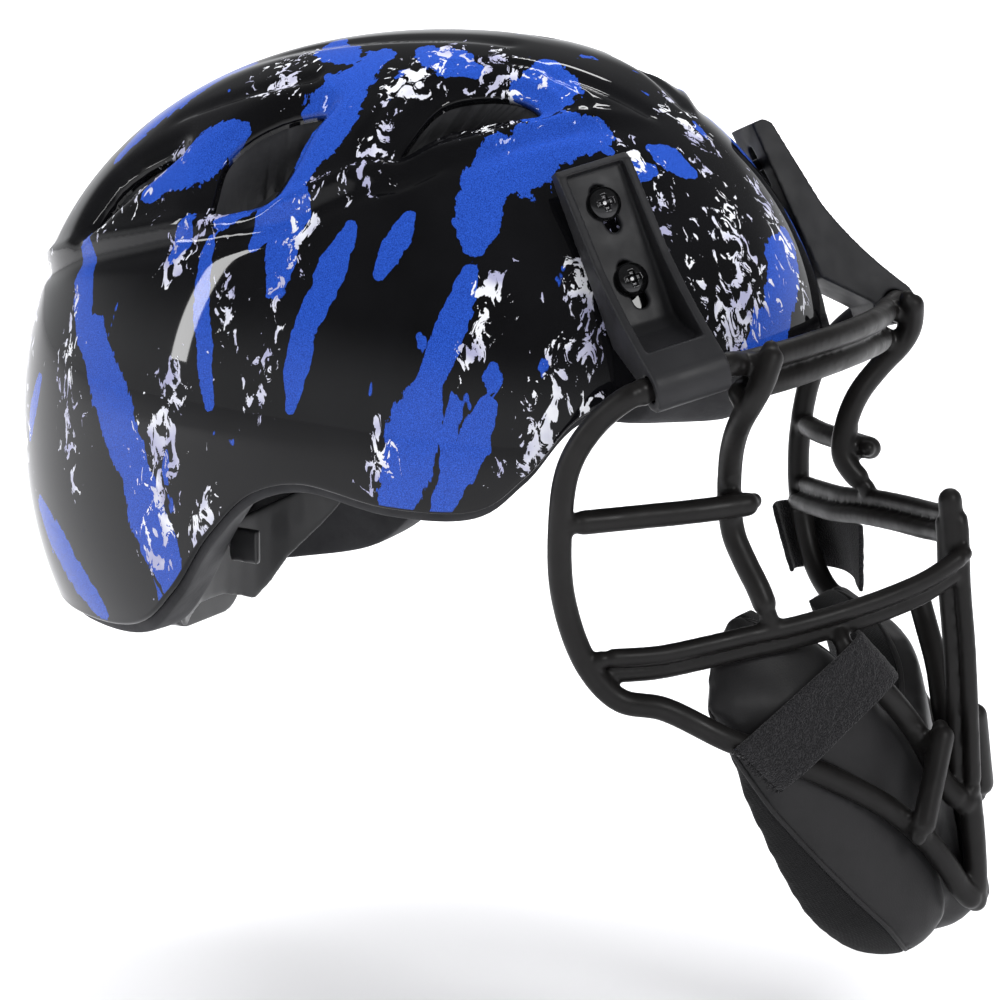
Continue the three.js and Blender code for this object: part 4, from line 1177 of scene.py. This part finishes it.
for node, fill in (("brow_pad", 0.6), ("rear_pad", 0.6), ("side_pad_right", 0.5), ("side_pad_left", 0.5),
                   ("crown_pad_right", 0.5), ("crown_pad_left", 0.5)):
    cushion = softened("cushion_" + node, [node], 2.2, 4)
    swollen(cushion, 3, 1.6, 12)
    baked(cushion, ONE_SUBDIVISION)
    finished(cushion, "helmet", "lining", lining_look, node)

retention_look = finish_material("satin_nylon")
for name, nodes, body, voxel, smoothing in (
    ("nylon_arms", ["retention_arm_right", "retention_arm_left"], "helmet", 0.7, 8),
    ("nylon_cradle", ["cradle_band", "cradle_sleeve_right", "cradle_sleeve_left"], "cradle", 0.8, 26),
    ("dial_housing", ["adjuster_housing"], "cradle", 0.6, 4),
    ("ribbed_dial", ["fit_dial"], "dial", 0.45, 4),
    ("dial_hub", ["dial_pinion"], "dial", 0.5, 12),
):
    finished(softened(name, nodes, voxel, smoothing), body, "retention", retention_look, *nodes)


# ---- Camera, light and floor ----

def facing(direction):
    return Vector(direction).to_track_quat("-Z", "Y").to_euler()


camera_data = bpy.data.cameras.new("camera")
camera_data.lens = 129.6
camera_data.sensor_width = 36
camera = placed("camera", camera_data)
camera.location = (-1.1087, -0.6320, 0.2797)
camera.rotation_euler = facing((0.858, 0.466, -0.216))
scene.camera = camera


def area_light(name, place, aim, power, width, height):
    data = bpy.data.lights.new(name, "AREA")
    data.shape = "RECTANGLE"
    data.size, data.size_y = width, height
    data.energy = power
    light = placed(name, data)
    light.location = place
    light.rotation_euler = facing(Vector(aim) - Vector(place))
    return light


area_light("key_light", (-1.0, -1.9, 1.3), (0, -0.05, 0), 20, 0.6, 0.6)
area_light("strip_light", (-1.3, 1.65, 0.75), (0, 0, 0), 8, 0.14, 1.1)
area_light("back_light", (1.6, 0.3, 1.9), (0, 0, 0), 7, 0.8, 0.3)
# The floor and sky lights stay out of the gloss, which keeps the blacks black.
floor_light = area_light("floor_light", (2.6, 1.5, 2.6), (2.4, 1.3, 0), 235, 4.5, 4.5)
floor_light.visible_glossy = False
sun_data = bpy.data.lights.new("broad_light", "SUN")
sun_data.energy = 1.9
sun_data.angle = math.radians(95)
sun = placed("broad_light", sun_data)
sun.visible_glossy = False
sun.rotation_euler = facing((-0.1, 0.05, -1))
scene.view_settings.view_transform = "Standard"

# The room is white at the horizon, where it meets the floor, and dim overhead.
sky = Nodes(bpy.data.worlds.new("studio"), "Background", "Generated")
sky.set(Color=(0.93, 0.94, 0.96, 1))
upward = sky.added("SeparateXYZ", sky.place).outputs["Z"]
sky.to_shader(sky.ranged(upward, 0.04, 0.34, 0.95, 0.18, "SMOOTHSTEP"), "Strength")
scene.world = sky.owner

FLOOR = -0.172
floor_mesh = bpy.data.meshes.new("floor")
floor_mesh.from_pydata([(x, y, FLOOR) for x, y in ((-6, -6), (6, -6), (6, 6), (-6, 6))], [], [(0, 1, 2, 3)])
floor = placed("floor", floor_mesh)
n = Nodes(bpy.data.materials.new("pale_floor"))
n.set(Specular_IOR_Level=0.2)
n.coloured(n.noise(3, 2), (0.86, 0.86, 0.88), (0.9, 0.9, 0.92))
n.roughened(n.noise(8, 2), 0.75, 0.9)
floor.data.materials.append(n.owner)
